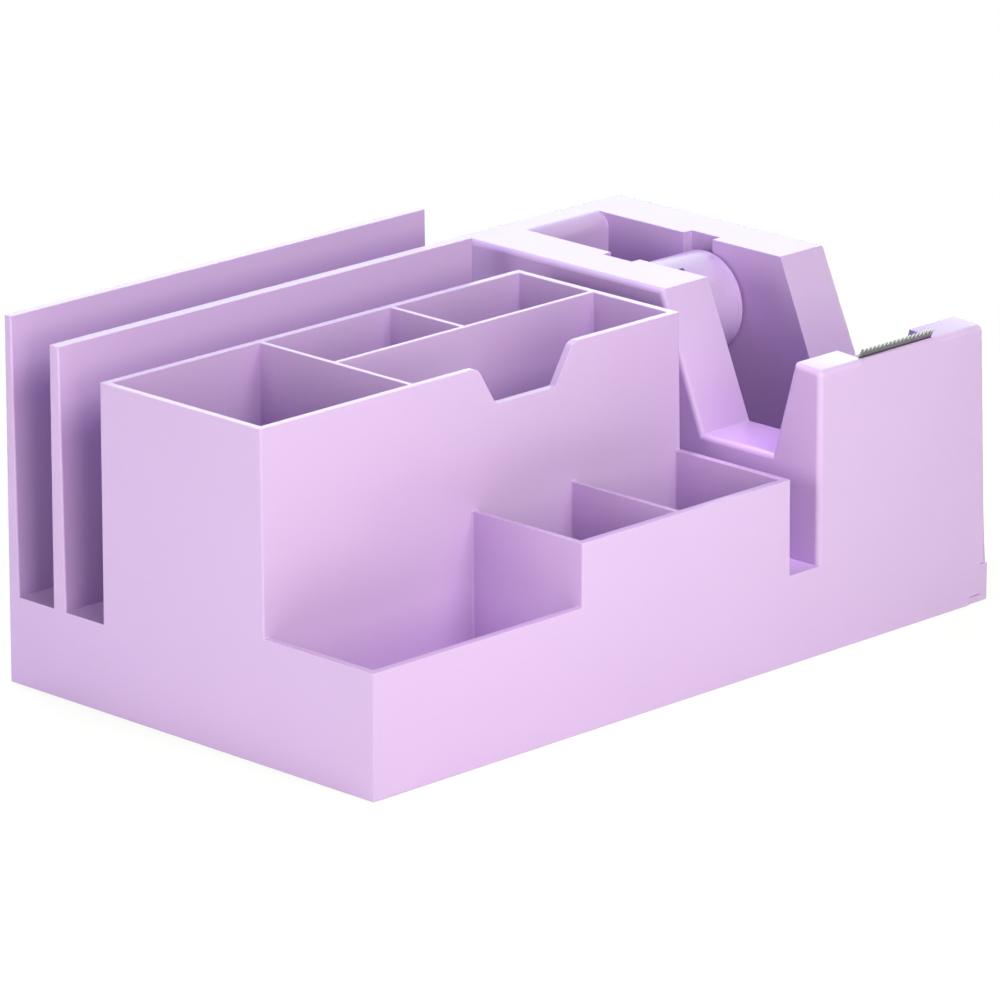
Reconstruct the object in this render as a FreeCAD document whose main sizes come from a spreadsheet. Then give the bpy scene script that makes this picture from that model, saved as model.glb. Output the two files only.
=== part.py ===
import FreeCAD, Part
import os
import re
import Sketcher
from FreeCAD import Placement, Rotation, Vector

# Desk organizer with a tape dispenser and a drawer, in millimetres.
# The pieces are laid out from the left front bottom corner of the moulding: X runs along the front
# to the right, Y runs to the back and Z runs up. Every finished piece is then moved by half of the
# overall length and depth, so that the frame's origin is the middle of the footprint.

doc = FreeCAD.newDocument("TapeOrganizer")
sheet = doc.addObject("Spreadsheet::Sheet", "Sizes")

DRIVING_SIZES = [
    ("overall_length", 207.6, "left face to the outside of the drawer front"),
    ("depth", 121.0, "front face to back face"),
    ("skirt_end", 204.8, "right end of the skirt, where the drawer front closes"),
    ("skirt_bottom", 0.15, "lower edge of the skirt above the table"),
    ("past", 1.0, "how far a cutting body runs past what it cuts"),
    ("edge_break", 0.2, "small bevel on turned edges"),
    ("wall", 2.0, "outer wall"),
    ("divider", 1.4, "divider at its rim"),
    ("taper", 0.3, "how much a wall grows on each inner side down to its foot"),
    ("deck_bottom", 11.2, "ceiling of the drawer bay"),
    ("deck_top", 13.0, "floor of the compartments"),
    ("slot_floor", 21.5, "floor of the two file slots"),
    ("gap_floor", 22.2, "floor of the gap beside the tape housing"),
    ("box_top", 79.4, "rim of the pen box and top of the tape housing"),
    ("box_right_foot", 137.0, "right face of the pen box at its foot"),
    ("box_right_rim", 136.2, "right face of the pen box at its rim"),
    ("box_front_foot", 34.9, "front face of the pen box at its foot"),
    ("box_front_rim", 35.7, "front face of the pen box at its rim"),
    ("box_back", 88.7, "back face of the pen box"),
    ("left_divider", 48.5, "left face of the divider that crosses the pen box"),
    ("long_divider", 62.0, "front face of the divider that runs along the pen box"),
    ("short_divider", 90.9, "left face of the divider between the two rear cups"),
    ("notch_bottom", 69.7, "lower edge of the notch in the front rim"),
    ("notch_left", 74.8, "left end of the notch's lower edge"),
    ("notch_right", 94.4, "right end of the notch's lower edge"),
    ("notch_flare", 5.9, "how far each side of the notch leans out"),
    ("notch_round", 3.0, "rounding where the notch meets the rim"),
    ("tray_low", 30.4, "rim of the low front bay"),
    ("tray_high", 45.8, "rim of the two high front bays"),
    ("tray_step", 66.7, "where the front rim steps up"),
    ("tray_divider", 99.4, "left face of the divider between the high bays"),
    ("panel_right", 134.6, "right end of both file panels"),
    ("back_panel_top", 89.0, "top of the back panel"),
    ("back_panel_rim", 2.3, "thickness of the back panel at its top"),
    ("back_panel_foot", 3.5, "thickness of the back panel at its foot"),
    ("mid_panel_top", 84.9, "top of the middle panel"),
    ("mid_panel_back", 105.7, "back face of the middle panel"),
    ("mid_panel_rim", 3.1, "thickness of the middle panel at its top"),
    ("mid_panel_foot", 4.3, "thickness of the middle panel at its foot"),
    ("house_left_foot", 146.4, "left face of the tape housing at its foot"),
    ("house_left_top", 147.4, "left face of the tape housing at its top"),
    ("house_right_foot", 206.6, "right face of the tape housing at its foot"),
    ("house_right_top", 204.8, "right face of the tape housing at its top"),
    ("house_front_lean", 0.9, "how far the housing's front leans back"),
    ("house_back_lean", 0.7, "how far the housing's back leans forward"),
    ("house_bottom", 9.8, "lower edge of the housing's right wall"),
    ("tower_top", 70.0, "top of the cutter tower"),
    ("tower_back", 9.3, "rear edge of the cutter tower's top"),
    ("tower_foot", 15.5, "rear foot of the cutter tower"),
    ("valley_floor", 46.5, "floor between the tower and the rear block"),
    ("block_foot", 38.0, "front foot of the rear block"),
    ("block_front", 52.0, "front edge of the rear block's top"),
    ("well_left", 163.4, "left wall of the tape well"),
    ("well_right", 189.0, "right wall of the tape well"),
    ("well_front", 16.5, "front wall of the tape well"),
    ("well_back", 109.5, "back wall of the tape well"),
    ("well_floor", 24.0, "floor of the tape well"),
    ("block_shift", 1.3, "inside of the rear block's slope, in from its outside at the lower floor"),
    ("tower_shift", 1.6, "inside of the tower's rear, in from its outside at the lower floor"),
    ("tower_top_shift", 2.6, "inside of the tower's rear, in from its outside at the top"),
    ("tower_top_drop", 4.4, "inside of the tower's top, down from its outside"),
    ("house_round", 1.4, "rounding of the housing's outer edges"),
    ("nose_top", 69.5, "height to which the tower's top falls at the front face"),
    ("nose_round", 1.5, "rounding of the tower's front top edge"),
    ("well_round", 4.0, "rounding of the well's back rim"),
    ("axle_y", 76.1, "axle of the tape hub, from the front face"),
    ("axle_z", 63.9, "axle of the tape hub, above the table"),
    ("axle_radius", 1.5, "steel axle"),
    ("seat_radius", 1.57, "round seat of the axle in each well wall"),
    ("axle_slot_back", 84.0, "rear side of the drop-in slot"),
    ("axle_ramp", 3.0, "rise from the seat to the rear side of the drop-in slot"),
    ("axle_slot_deep", 2.8, "depth of the drop-in slot in the well wall"),
    ("axle_gap", 0.4, "end play of the axle at each end"),
    ("hub_radius", 12.6, "outside of the hub, for a core of one inch"),
    ("hub_wall", 1.6, "wall of the hub barrel"),
    ("hub_left", 164.1, "left end of the hub"),
    ("hub_right", 188.5, "right end of the hub"),
    ("cap_flange", 1.7, "thickness of each end cap's flange"),
    ("cap_spigot", 3.0, "length of each end cap's spigot"),
    ("cap_web", 0.6, "depth of the hollow behind each end cap's flange"),
    ("cap_tube", 2.0, "wall of the tube around the axle"),
    ("cap_bore", 1.56, "radius of the bore for the axle"),
    ("cap_bevel", 0.5, "bevel of each end cap's outer edge"),
    ("spigot_wall", 1.4, "wall of the end cap's spigot"),
    ("spigot_fit", 0.05, "clearance of the spigot in the barrel"),
    ("axle_bevel", 0.3, "bevel at the ends of the axle"),
    ("window_left", 172.4, "left end of a grip window in the barrel"),
    ("window_width", 2.6, "width of a grip window"),
    ("window_front", 12.0, "front end of the first grip window, ahead of the axle"),
    ("window_back", 4.9, "rear end of the first grip window, ahead of the axle"),
    ("window_low", 3.8, "lower limit of the first grip window, above the axle"),
    ("recess_left", 162.4, "left end of the cutter recess"),
    ("recess_right", 188.0, "right end of the cutter recess"),
    ("recess_floor", 67.2, "floor of the cutter recess"),
    ("lip_back", 2.3, "rear face of the front lip under the blade"),
    ("lip_top", 69.5, "top of the front lip under the blade"),
    ("lip_slope", 3.6, "how far each end of the front lip slopes down"),
    ("blade_fit", 0.05, "clearance of the blade in its recess"),
    ("blade_end_gap", 0.2, "gap at each end of the blade"),
    ("blade_thick", 0.5, "sheet of the cutter blade"),
    ("blade_top", 71.9, "tips of the teeth"),
    ("blade_lean", 1.2, "how far the teeth lean forward"),
    ("blade_base", 6.2, "length of the blade's base on the recess floor"),
    ("tooth_pitch", 1.4, "from tooth to tooth"),
    ("tooth_deep", 1.1, "depth of the gaps between the teeth"),
    ("cover_bottom", 0.9, "underside of the bottom cover"),
    ("cover_top", 2.5, "upper face of the bottom cover"),
    ("cover_gap", 0.3, "gap around the bottom cover"),
    ("cover_right", 200.6, "right end of the bottom cover"),
    ("cover_sink", 0.8, "depth of the sink for a screw head"),
    ("rib_front", 7.6, "front face of the front guide rib"),
    ("rib_thick", 1.2, "thickness of a guide rib"),
    ("rib_top", 8.5, "top of the guide ribs"),
    ("pad_proud", 1.3, "how far a guide block stands in from its rib"),
    ("block_long", 4.0, "length of a guide block"),
    ("block_inset", 6.0, "left end of the outer guide blocks, in from the cover's right end"),
    ("station_one", 11.0, "first pair of screw bosses, from the left face"),
    ("station_two", 78.0, "second pair of screw bosses"),
    ("station_three", 128.0, "third pair of screw bosses"),
    ("station_four", 192.0, "fourth pair of screw bosses"),
    ("boss_inset", 4.6, "screw bosses, in from the front and back faces"),
    ("boss_radius", 2.8, "outside of a screw boss"),
    ("screw_radius", 1.1, "shank of a screw"),
    ("screw_hole", 1.15, "hole for a screw"),
    ("pilot_deep", 7.0, "depth of the hole in a boss"),
    ("screw_head", 1.9, "radius of a screw head"),
    ("head_high", 0.65, "height of a screw head"),
    ("head_gap", 0.1, "a screw head, up from the face around its sink"),
    ("cross_arm", 1.3, "arm of the cross recess"),
    ("cross_half", 0.25, "half of the width of the cross recess"),
    ("cross_deep", 0.5, "depth of the cross recess"),
    ("screw_tip", 9.0, "tip of the cover screws"),
    ("tray_left", 4.0, "rear end of the drawer tray"),
    ("tray_side", 10.4, "side of the drawer tray, in from the front face"),
    ("tray_bottom", 2.8, "underside of the drawer tray"),
    ("tray_top", 9.3, "rim of the drawer tray"),
    ("tray_wall", 1.5, "walls and floor of the drawer tray"),
    ("stop_tab", 1.3, "how far a stop tab stands out"),
    ("stop_long", 3.0, "length of a stop tab"),
    ("drawer_travel", 130.0, "travel of the drawer to its stops"),
    ("seam", 0.15, "gap between the skirt and the closed drawer front"),
    ("front_round", 0.3, "rounding of the drawer front's outer edges"),
    ("front_bottom", 0.3, "lower edge of the drawer front"),
    ("front_top", 9.6, "upper edge of the drawer front"),
    ("front_inset", 0.2, "drawer front, in from the front and back faces"),
    ("heel_left", 201.2, "left end of the heel under the drawer front"),
    ("heel_top", 2.0, "top of the heel under the drawer front"),
    ("heel_gap", 0.2, "clearance over the heel"),
    ("ballast_left", 152.0, "left end of the steel ballast"),
    ("ballast_long", 47.0, "length of the steel ballast"),
    ("ballast_front", 14.0, "front edge of the steel ballast"),
    ("ballast_deep", 93.0, "depth of the steel ballast"),
    ("holder_bottom", 10.0, "underside of the plate that holds the ballast"),
    ("ballast_bottom", 11.8, "underside of the steel ballast"),
    ("ballast_thick", 6.0, "thickness of the steel ballast"),
    ("weight_screw_left", 168.0, "left pair of ballast screws"),
    ("weight_screw_right", 184.0, "right pair of ballast screws"),
    ("weight_screw_front", 24.0, "front pair of ballast screws"),
    ("weight_screw_rear", 102.0, "rear pair of ballast screws"),
    ("weight_hole_gap", 0.3, "extra radius of the holes through the ballast"),
    ("weight_pilot", 3.1, "depth of the hole in a ballast boss"),
    ("weight_screw_grip", 2.8, "how far a ballast screw reaches into its boss"),
    ("pad_radius", 6.0, "radius of a foot pad"),
    ("pad_inset", 16.0, "foot pads, in from the edges"),
]
SIZE_NAMES = {name for name, value, note in DRIVING_SIZES}
for row, (name, value, note) in enumerate(DRIVING_SIZES, start=1):
    sheet.set(f"A{row}", note)
    sheet.set(f"B{row}", str(value))
    sheet.setAlias(f"B{row}", name)
doc.recompute()


def size(name):
    """The number in the sheet's cell with that alias."""
    return float(sheet.get(name))


def bound(text):
    """An expression written with bare size names, as FreeCAD reads it."""
    return re.sub(r"[a-z][a-z_]+", lambda word: f"Sizes.{word.group(0)}", str(text))


def bind(thing, **properties):
    """Bind properties of an object to expressions; Base_x stands for Placement.Base.x."""
    for name, text in properties.items():
        path = name.replace("Base_", "Placement.Base.")
        thing.setExpression(path, bound(text))
    return thing


def box(name, along, across, upward):
    """A box between two expressions on each of X, Y and Z."""
    thing = doc.addObject("Part::Box", name)
    bind(thing, Length=f"({along[1]}) - ({along[0]})")
    bind(thing, Width=f"({across[1]}) - ({across[0]})")
    bind(thing, Height=f"({upward[1]}) - ({upward[0]})")
    return bind(thing, Base_x=along[0], Base_y=across[0], Base_z=upward[0])


def drafted(name, foot, rim, upward):
    """A block whose foot and rim rectangles (x, x, y, y) differ, for moulding draft."""
    thing = doc.addObject("Part::Wedge", name)
    bind(thing, Xmin=foot[0], Xmax=foot[1], Zmin=f"-({foot[3]})", Zmax=f"-({foot[2]})")
    bind(thing, X2min=rim[0], X2max=rim[1], Z2min=f"-({rim[3]})", Z2max=f"-({rim[2]})")
    bind(thing, Ymin=upward[0], Ymax=upward[1])
    thing.Placement = Placement(Vector(0, 0, 0), Rotation(Vector(1, 0, 0), 90))
    return thing


def cylinder(name, radius, height, place, axis="Z"):
    """A cylinder that starts at place and runs along +Z or +X."""
    thing = doc.addObject("Part::Cylinder", name)
    turn = Rotation(Vector(0, 1, 0), 90) if axis == "X" else Rotation()
    thing.Placement = Placement(Vector(0, 0, 0), turn)
    bind(thing, Radius=radius, Height=height)
    return bind(thing, Base_x=place[0], Base_y=place[1], Base_z=place[2])


def fuse(name, things):
    thing = doc.addObject("Part::MultiFuse", name)
    thing.Shapes = things
    return thing


def cut(name, base, tools):
    thing = doc.addObject("Part::Cut", name)
    thing.Base = base
    thing.Tool = tools[0] if len(tools) == 1 else fuse(name + "_tools", tools)
    return thing


def common(name, base, tool):
    thing = doc.addObject("Part::Common", name)
    thing.Base = base
    thing.Tool = tool
    return thing


def outline(name, plane, points):
    """A closed sketch on plane "YZ" or "XZ"; each point's two distances are expressions."""
    sketch = doc.addObject("Sketcher::SketchObject", name)
    turn = Rotation(Vector(1, 1, 1), 120) if plane == "YZ" else Rotation(Vector(1, 0, 0), 90)
    sketch.Placement = Placement(Vector(0, 0, 0), turn)
    return draw_outline(sketch, points)


def draw_outline(sketch, points):
    """Draw a closed polygon and bind every corner to the sketch's origin."""
    values = [[sheet_value(text) for text in point] for point in points]
    count = len(points)
    for index in range(count):
        start = Vector(*values[index], 0)
        end = Vector(*values[(index + 1) % count], 0)
        sketch.addGeometry(Part.LineSegment(start, end), False)
    for index in range(count):
        following = (index + 1) % count
        sketch.addConstraint(Sketcher.Constraint("Coincident", index, 2, following, 1))
    for index, point in enumerate(points):
        for kind, text, value in zip(("DistanceX", "DistanceY"), point, values[index]):
            number = sketch.addConstraint(Sketcher.Constraint(kind, -1, 1, index, 1, value))
            sketch.setExpression(f"Constraints[{number}]", bound(text))
    return sketch


def sheet_value(text):
    """The value of an expression now, to draw the sketch close to its constraints."""
    probe = re.sub(r"[a-z][a-z_]+", lambda word: repr(size(word.group(0))), str(text))
    total = FreeCAD.Units.Quantity(f"({probe})")
    return float(total.Value)


def prism(name, plane, points, start, end):
    """The outline pushed from start to end along X (plane YZ) or Y (plane XZ)."""
    sketch = outline(name + "_outline", plane, points)
    thing = doc.addObject("Part::Extrusion", name)
    thing.Base = sketch
    thing.DirMode = "Custom"
    thing.Dir = Vector(1, 0, 0) if plane == "YZ" else Vector(0, 1, 0)
    thing.Solid = True
    bind(thing, LengthFwd=end, LengthRev=f"-({start})")
    return thing


def rounded(name, base, picks):
    """Fillet the edges that each test picks, with that test's radius."""
    doc.recompute()
    thing = doc.addObject("Part::Fillet", name)
    thing.Base = base
    chosen = []
    for radius, test in picks:
        found = [n for n, edge in enumerate(base.Shape.Edges, start=1) if test(edge.BoundBox)]
        chosen += [(n, size(radius), size(radius)) for n in found]
    thing.Edges = chosen
    return thing


def finish(thing, label):
    """Name a finished piece and move it from the layout corner to the middle of the footprint."""
    thing.Label = label
    bind(thing, Base_x="-overall_length / 2", Base_y="-depth / 2")
    PIECES.append(thing)
    return thing


PIECES = []
NEAR = 0.01


# ---------------------------------------------------------------- the moulding, in six sections

def pen_box_block(name):
    """Outside of the pen box, drafted at the front and on the right."""
    foot = ("0", "box_right_foot", "box_front_foot", "box_back")
    rim = ("0", "box_right_rim", "box_front_rim", "box_back")
    return drafted(name, foot, rim, ("deck_top", "box_top"))


def organizer_envelope(name):
    """Everything left of the gap, with the right face's draft, down to the table."""
    foot = ("-past", "box_right_foot", "-past", "box_back")
    rim = ("-past", "box_right_rim", "-past", "box_back")
    return drafted(name, foot, rim, ("deck_top", "box_top"))


def house_envelope(name):
    """Outside of the tape housing, drafted on all four sides."""
    foot = ("house_left_foot", "house_right_foot", "0", "depth")
    rim = ("house_left_top", "house_right_top", "house_front_lean", "depth - house_back_lean")
    return drafted(name, foot, rim, ("house_bottom", "box_top"))


def boss_places():
    """Screw bosses along the front and the back wall, beside the drawer's path."""
    stations = ("station_one", "station_two", "station_three", "station_four")
    return [(x, y) for x in stations for y in ("boss_inset", "depth - boss_inset")]


def make_base_shell():
    """Skirt, deck and raised floors: the lower part of the moulding, open below."""
    skirt = box("skirt", ("0", "skirt_end"), ("0", "depth"), ("skirt_bottom", "deck_bottom"))
    deck = box("deck", ("0", "house_left_foot"), ("0", "depth"), ("deck_bottom", "deck_top"))
    under_house = "house_left_foot + past"
    files = box("files", ("0", under_house), ("box_back", "depth"), ("deck_top", "slot_floor"))
    gap = box("gap", ("box_right_rim - past", under_house), ("0", "box_back"), ("deck_top", "gap_floor"))
    bay = box("bay", ("wall", "skirt_end + past"), ("wall", "depth - wall"),
              ("skirt_bottom - past", "deck_bottom"))
    under_files = box("under_files", ("wall", under_house), ("box_back", "depth - wall"),
                      ("deck_bottom - past", "slot_floor - wall"))
    under_gap = box("under_gap", ("box_right_foot + divider", under_house), ("wall", "box_back + past"),
                    ("deck_bottom - past", "gap_floor - wall"))
    heel = box("heel_slot", ("heel_left - heel_gap", "skirt_end + past"), ("-past", "depth + past"),
               ("skirt_bottom - past", "heel_top + heel_gap"))
    neighbours = [organizer_envelope("left_of_gap"), house_envelope("house_room")]
    hollows = [bay, under_files, under_gap, heel] + neighbours
    shell = cut("base_shell_walls", fuse("base_shell_blank", [skirt, deck, files, gap]), hollows)
    bosses = []
    pilots = []
    for number, (x, y) in enumerate(boss_places()):
        place = (x, y, "cover_top")
        top = "house_bottom" if x == "station_four" else "deck_bottom"
        to_wall = ("wall / 2", y) if y == "boss_inset" else (y, "depth - wall / 2")
        bosses.append(cylinder(f"boss_{number}", "boss_radius", f"{top} - cover_top", place))
        bosses.append(box(f"boss_web_{number}", (f"{x} - boss_radius", f"{x} + boss_radius"), to_wall,
                          ("cover_top", top)))
        pilots.append(cylinder(f"pilot_{number}", "screw_hole", "pilot_deep", place))
    with_bosses = fuse("base_shell_with_bosses", [shell] + bosses)
    return finish(cut("base_shell", with_bosses, pilots), "base_shell")


def cup(name, left, right, front, back):
    """A compartment that is open above and below and narrows by the walls' taper to its foot."""
    rim = (left, right, front, back)
    foot = (f"{left} + taper", f"{right} - taper", f"{front} + taper", f"{back} - taper")
    return drafted(name, foot, rim, ("deck_top", "box_top"))


def make_pen_box():
    """Four upright compartments with a notch in the front rim."""
    inner_right = "box_right_rim - wall"
    inner_front = "box_front_rim + wall"
    inner_back = "box_back - wall"
    behind_long = "long_divider + divider"
    cups = [
        cup("left_cup", "wall", "left_divider", inner_front, inner_back),
        cup("rear_middle_cup", "left_divider + divider", "short_divider", behind_long, inner_back),
        cup("rear_right_cup", "short_divider + divider", inner_right, behind_long, inner_back),
        cup("front_cup", "left_divider + divider", inner_right, inner_front, "long_divider"),
    ]
    sides = [
        ("notch_left", "notch_bottom"),
        ("notch_right", "notch_bottom"),
        ("notch_right + notch_flare", "box_top"),
        ("notch_right + notch_flare", "box_top + past"),
        ("notch_left - notch_flare", "box_top + past"),
        ("notch_left - notch_flare", "box_top"),
    ]
    notch = prism("notch", "XZ", sides, "box_front_foot - past", "box_front_rim + wall + past")
    block = cut("notched_block", pen_box_block("pen_box_block"), [notch])

    def notch_corner(edge):
        ends = (size("notch_left") - size("notch_flare"), size("notch_right") + size("notch_flare"))
        at_end = any(abs(edge.XMin - end) < NEAR for end in ends)
        return at_end and edge.XLength < NEAR and edge.ZMin > size("box_top") - NEAR

    soft_block = rounded("notched_block_soft", block, [("notch_round", notch_corner)])
    return finish(cut("pen_box", soft_block, cups), "pen_box")


def make_front_tray():
    """Three low bays in front of the pen box; the left one is lower than the others."""
    blank = box("tray_blank", ("0", "box_right_foot + past"), ("0", "box_front_rim"),
                ("deck_top", "tray_high"))
    room = box("tray_room", ("-past", "box_right_foot + 2 * past"), ("-past", "box_back"),
               ("deck_top", "box_top"))
    right_trim = cut("tray_right_trim", room, [organizer_envelope("tray_envelope")])
    low = box("low_rim", ("-past", "tray_step"), ("-past", "box_back"), ("tray_low", "box_top"))
    bays = [
        ("low_bay", "wall", "tray_step"),
        ("middle_bay", "tray_step + divider", "tray_divider"),
        ("right_bay", "tray_divider + divider", "box_right_foot - wall - taper"),
    ]
    cups = [box(name, (left, right), ("wall", "box_back"), ("deck_top - past", "box_top"))
            for name, left, right in bays]
    tools = [right_trim, low, pen_box_block("tray_back_trim")] + cups
    return finish(cut("front_tray", blank, tools), "front_tray")


def make_file_panels():
    """Two upright panels that make the two file slots; their front faces are drafted."""
    def panel(name, back, rim, foot, top):
        low = ("0", "panel_right", f"{back} - {foot}", back)
        high = ("0", "panel_right", f"{back} - {rim}", back)
        return finish(drafted(name, low, high, ("slot_floor", top)), name)

    panel("back_panel", "depth", "back_panel_rim", "back_panel_foot", "back_panel_top")
    panel("middle_panel", "mid_panel_back", "mid_panel_rim", "mid_panel_foot", "mid_panel_top")


def house_side():
    """Side view of the tape housing: tower, valley and rear block."""
    fall = "(tower_top - nose_top) / (tower_back - house_front_lean)"
    return [
        ("-past", "house_bottom - past"),
        ("depth + past", "house_bottom - past"),
        ("depth + past", "box_top"),
        ("block_front", "box_top"),
        ("block_foot", "valley_floor"),
        ("tower_foot", "valley_floor"),
        ("tower_back", "tower_top"),
        ("-past", f"nose_top - (house_front_lean + past) * {fall}"),
    ]


def house_side_inside():
    """The same view of the hollow inside, a wall's thickness further in."""
    return [
        ("-past", "house_bottom - 2 * past"),
        ("depth + past", "house_bottom - 2 * past"),
        ("depth + past", "box_top - wall"),
        ("block_front + block_shift", "box_top - wall"),
        ("block_foot + block_shift", "valley_floor - wall"),
        ("tower_foot - tower_shift", "valley_floor - wall"),
        ("tower_back - tower_top_shift", "tower_top - tower_top_drop"),
        ("-past", "tower_top - tower_top_drop"),
    ]


def make_tape_housing():
    """Cutter tower, valley and the two-sided rear block around the tape well, hollow from below."""
    body = common("house_body", house_envelope("house_block"),
                  prism("house_profile", "YZ", house_side(), "house_left_foot - past",
                        "house_right_foot + past"))

    half_width = (size("house_right_top") - size("house_left_top")) / 2

    def on_side(edge):
        sloping = edge.XLength < size("wall") and edge.DiagonalLength > size("wall")
        return sloping and edge.ZMax > size("deck_top")

    def nose(edge):
        high = edge.ZMin > size("valley_floor")
        return high and edge.XLength > half_width and edge.YMax < size("wall")

    def top_back(edge):
        high = edge.ZMin > size("valley_floor")
        return high and edge.XLength > half_width and edge.YMin > size("well_back")

    soft = rounded("house_soft", body, [("nose_round", nose), ("house_round", on_side),
                                        ("house_round", top_back)])
    recess = box("recess", ("recess_left", "recess_right"), ("lip_back", "tower_foot + past"),
                 ("recess_floor", "tower_top + past"))
    over_lip = box("over_lip", ("recess_left", "recess_right"), ("-past", "tower_back"),
                   ("lip_top", "tower_top + past"))
    well = box("well", ("well_left", "well_right"), ("well_front", "well_back"),
               ("well_floor", "box_top + past"))
    opened = cut("house_opened", fuse("house_with_lip", [soft, front_lip()]),
                 [house_hollow(), well, recess, over_lip] + axle_slots())

    def well_rim(edge):
        near_wall = abs(edge.YMin - size("well_back")) < NEAR and edge.YLength < NEAR
        return near_wall and edge.XLength > size("hub_radius") and edge.ZMin > size("box_top") - NEAR

    house = rounded("house_rims", opened, [("well_round", well_rim)])
    bosses, pilots = ballast_bosses()
    return finish(cut("tape_housing", fuse("house_whole", [house] + bosses), pilots), "tape_housing")


def front_lip():
    """Sharp lip in front of the blade, whose ends slope down into the rounded nose."""
    foot = "lip_top - lip_slope"
    face = prism("lip_face", "XZ", [
        ("recess_left - lip_slope", foot),
        ("recess_right + lip_slope", foot),
        ("recess_right", "lip_top"),
        ("recess_left", "lip_top"),
    ], "-past", "lip_back")
    return common("front_lip", face, house_envelope("lip_room"))


def house_hollow():
    """Room inside the housing's walls, without the well and the backs of the axle slots."""
    low = ("house_left_foot + wall", "house_right_foot - wall", "wall", "depth - wall")
    high = ("house_left_top + wall", "house_right_top - wall", "house_front_lean + wall",
            "depth - house_back_lean - wall")
    inner = common("house_inner",
                   drafted("house_inner_block", low, high, ("house_bottom - 2 * past", "box_top - wall")),
                   prism("house_inner_profile", "YZ", house_side_inside(), "house_left_foot",
                         "house_right_foot"))
    well_outside = box("well_outside", ("well_left - wall", "well_right + wall"),
                       ("well_front - wall", "well_back + wall + past"),
                       ("well_floor - wall", "box_top + past"))
    across = ("axle_y - seat_radius - wall", "axle_slot_back + wall")
    upward = ("axle_z - 2 * wall", "box_top")
    slot_backs = [
        box("left_slot_back", ("well_left - axle_slot_deep - wall", "well_left"), across, upward),
        box("right_slot_back", ("well_right", "well_right + axle_slot_deep + wall"), across, upward),
    ]
    return cut("house_hollow", inner, [well_outside] + slot_backs)


def axle_slots():
    """Drop-in slots for the axle: wide at the rim, with a round seat at the front of their foot."""
    opening = [
        ("axle_y - seat_radius", "axle_z"),
        ("axle_y + seat_radius", "axle_z"),
        ("axle_slot_back", "axle_z + axle_ramp"),
        ("axle_slot_back", "box_top + past"),
        ("axle_y - seat_radius", "box_top + past"),
    ]
    sides = [("left", "well_left - axle_slot_deep", "well_left + past"),
             ("right", "well_right - past", "well_right + axle_slot_deep")]
    tools = []
    for side, start, end in sides:
        tools.append(prism(f"{side}_axle_slot", "YZ", opening, start, end))
        place = (start, "axle_y", "axle_z")
        tools.append(cylinder(f"{side}_seat", "seat_radius", f"{end} - ({start})", place, "X"))
    return tools


def ballast_places():
    """Two pairs of screws through the ballast."""
    columns = ("weight_screw_left", "weight_screw_right")
    rows = ("weight_screw_front", "weight_screw_rear")
    return [(x, y) for x in columns for y in rows]


def ballast_bosses():
    """Four bosses under the well floor for the ballast screws."""
    low = "(ballast_bottom + ballast_thick)"
    bosses = []
    pilots = []
    for number, (x, y) in enumerate(ballast_places()):
        place = (x, y, low)
        bosses.append(cylinder(f"weight_boss_{number}", "boss_radius",
                               f"well_floor - wall / 2 - {low}", place))
        pilots.append(cylinder(f"weight_pilot_{number}", "screw_hole", "weight_pilot", place))
    return bosses, pilots


# ---------------------------------------------------------------- cutter

def make_blade():
    """Steel strip bent to an L, with a row of teeth along the edge that leans forward."""
    body = doc.addObject("PartDesign::Body", "cutter_blade")
    side = body.newObject("Sketcher::SketchObject", "blade_side")
    attach(side, body, "YZ_Plane")
    side.setExpression("AttachmentOffset.Base.z", bound("recess_left + blade_end_gap"))
    front = "lip_back + blade_fit"
    base = "recess_floor + blade_fit"
    draw_outline(side, [
        (front, base),
        (f"{front} + blade_base", base),
        (f"{front} + blade_base", f"{base} + blade_thick"),
        (f"{front} + blade_thick", f"{base} + blade_thick"),
        (f"{front} + blade_thick", "lip_top + 2 * blade_fit"),
        (f"{front} + blade_thick - blade_lean", "blade_top"),
        (f"{front} - blade_lean", "blade_top - edge_break"),
        (front, "lip_top"),
    ])
    strip = body.newObject("PartDesign::Pad", "blade_strip")
    strip.Profile = side
    strip.setExpression("Length", bound("recess_right - recess_left - 2 * blade_end_gap"))
    doc.recompute()
    plain_volume = body.Shape.Volume

    gap = body.newObject("Sketcher::SketchObject", "tooth_gap")
    attach(gap, body, "XZ_Plane")
    start = "recess_left + blade_end_gap"
    draw_outline(gap, [
        (start, "blade_top + edge_break"),
        (f"{start} + tooth_pitch / 2", "blade_top - tooth_deep"),
        (f"{start} + tooth_pitch", "blade_top + edge_break"),
    ])
    first = body.newObject("PartDesign::Pocket", "first_gap")
    first.Profile = gap
    first.Type = "ThroughAll"
    first.Midplane = True
    doc.recompute()
    row = body.newObject("PartDesign::LinearPattern", "tooth_row")
    row.Originals = [first]
    row.Direction = (gap, ["H_Axis"])
    blade_length = size("recess_right") - size("recess_left") - 2 * size("blade_end_gap")
    teeth = int(blade_length / size("tooth_pitch"))
    row.setExpression("Length", bound(f"tooth_pitch * {teeth - 1}"))
    row.Occurrences = teeth
    body.Tip = row
    doc.recompute()
    assert body.Shape.Volume < plain_volume, "the tooth gaps cut nothing"
    return finish(body, "cutter_blade")


def attach(sketch, body, plane):
    """Lay a sketch on one of its own body's origin planes."""
    sketch.AttachmentSupport = [(part, "") for part in body.Origin.OriginFeatures if part.Role == plane]
    sketch.MapMode = "FlatFace"


# ---------------------------------------------------------------- tape hub

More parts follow.
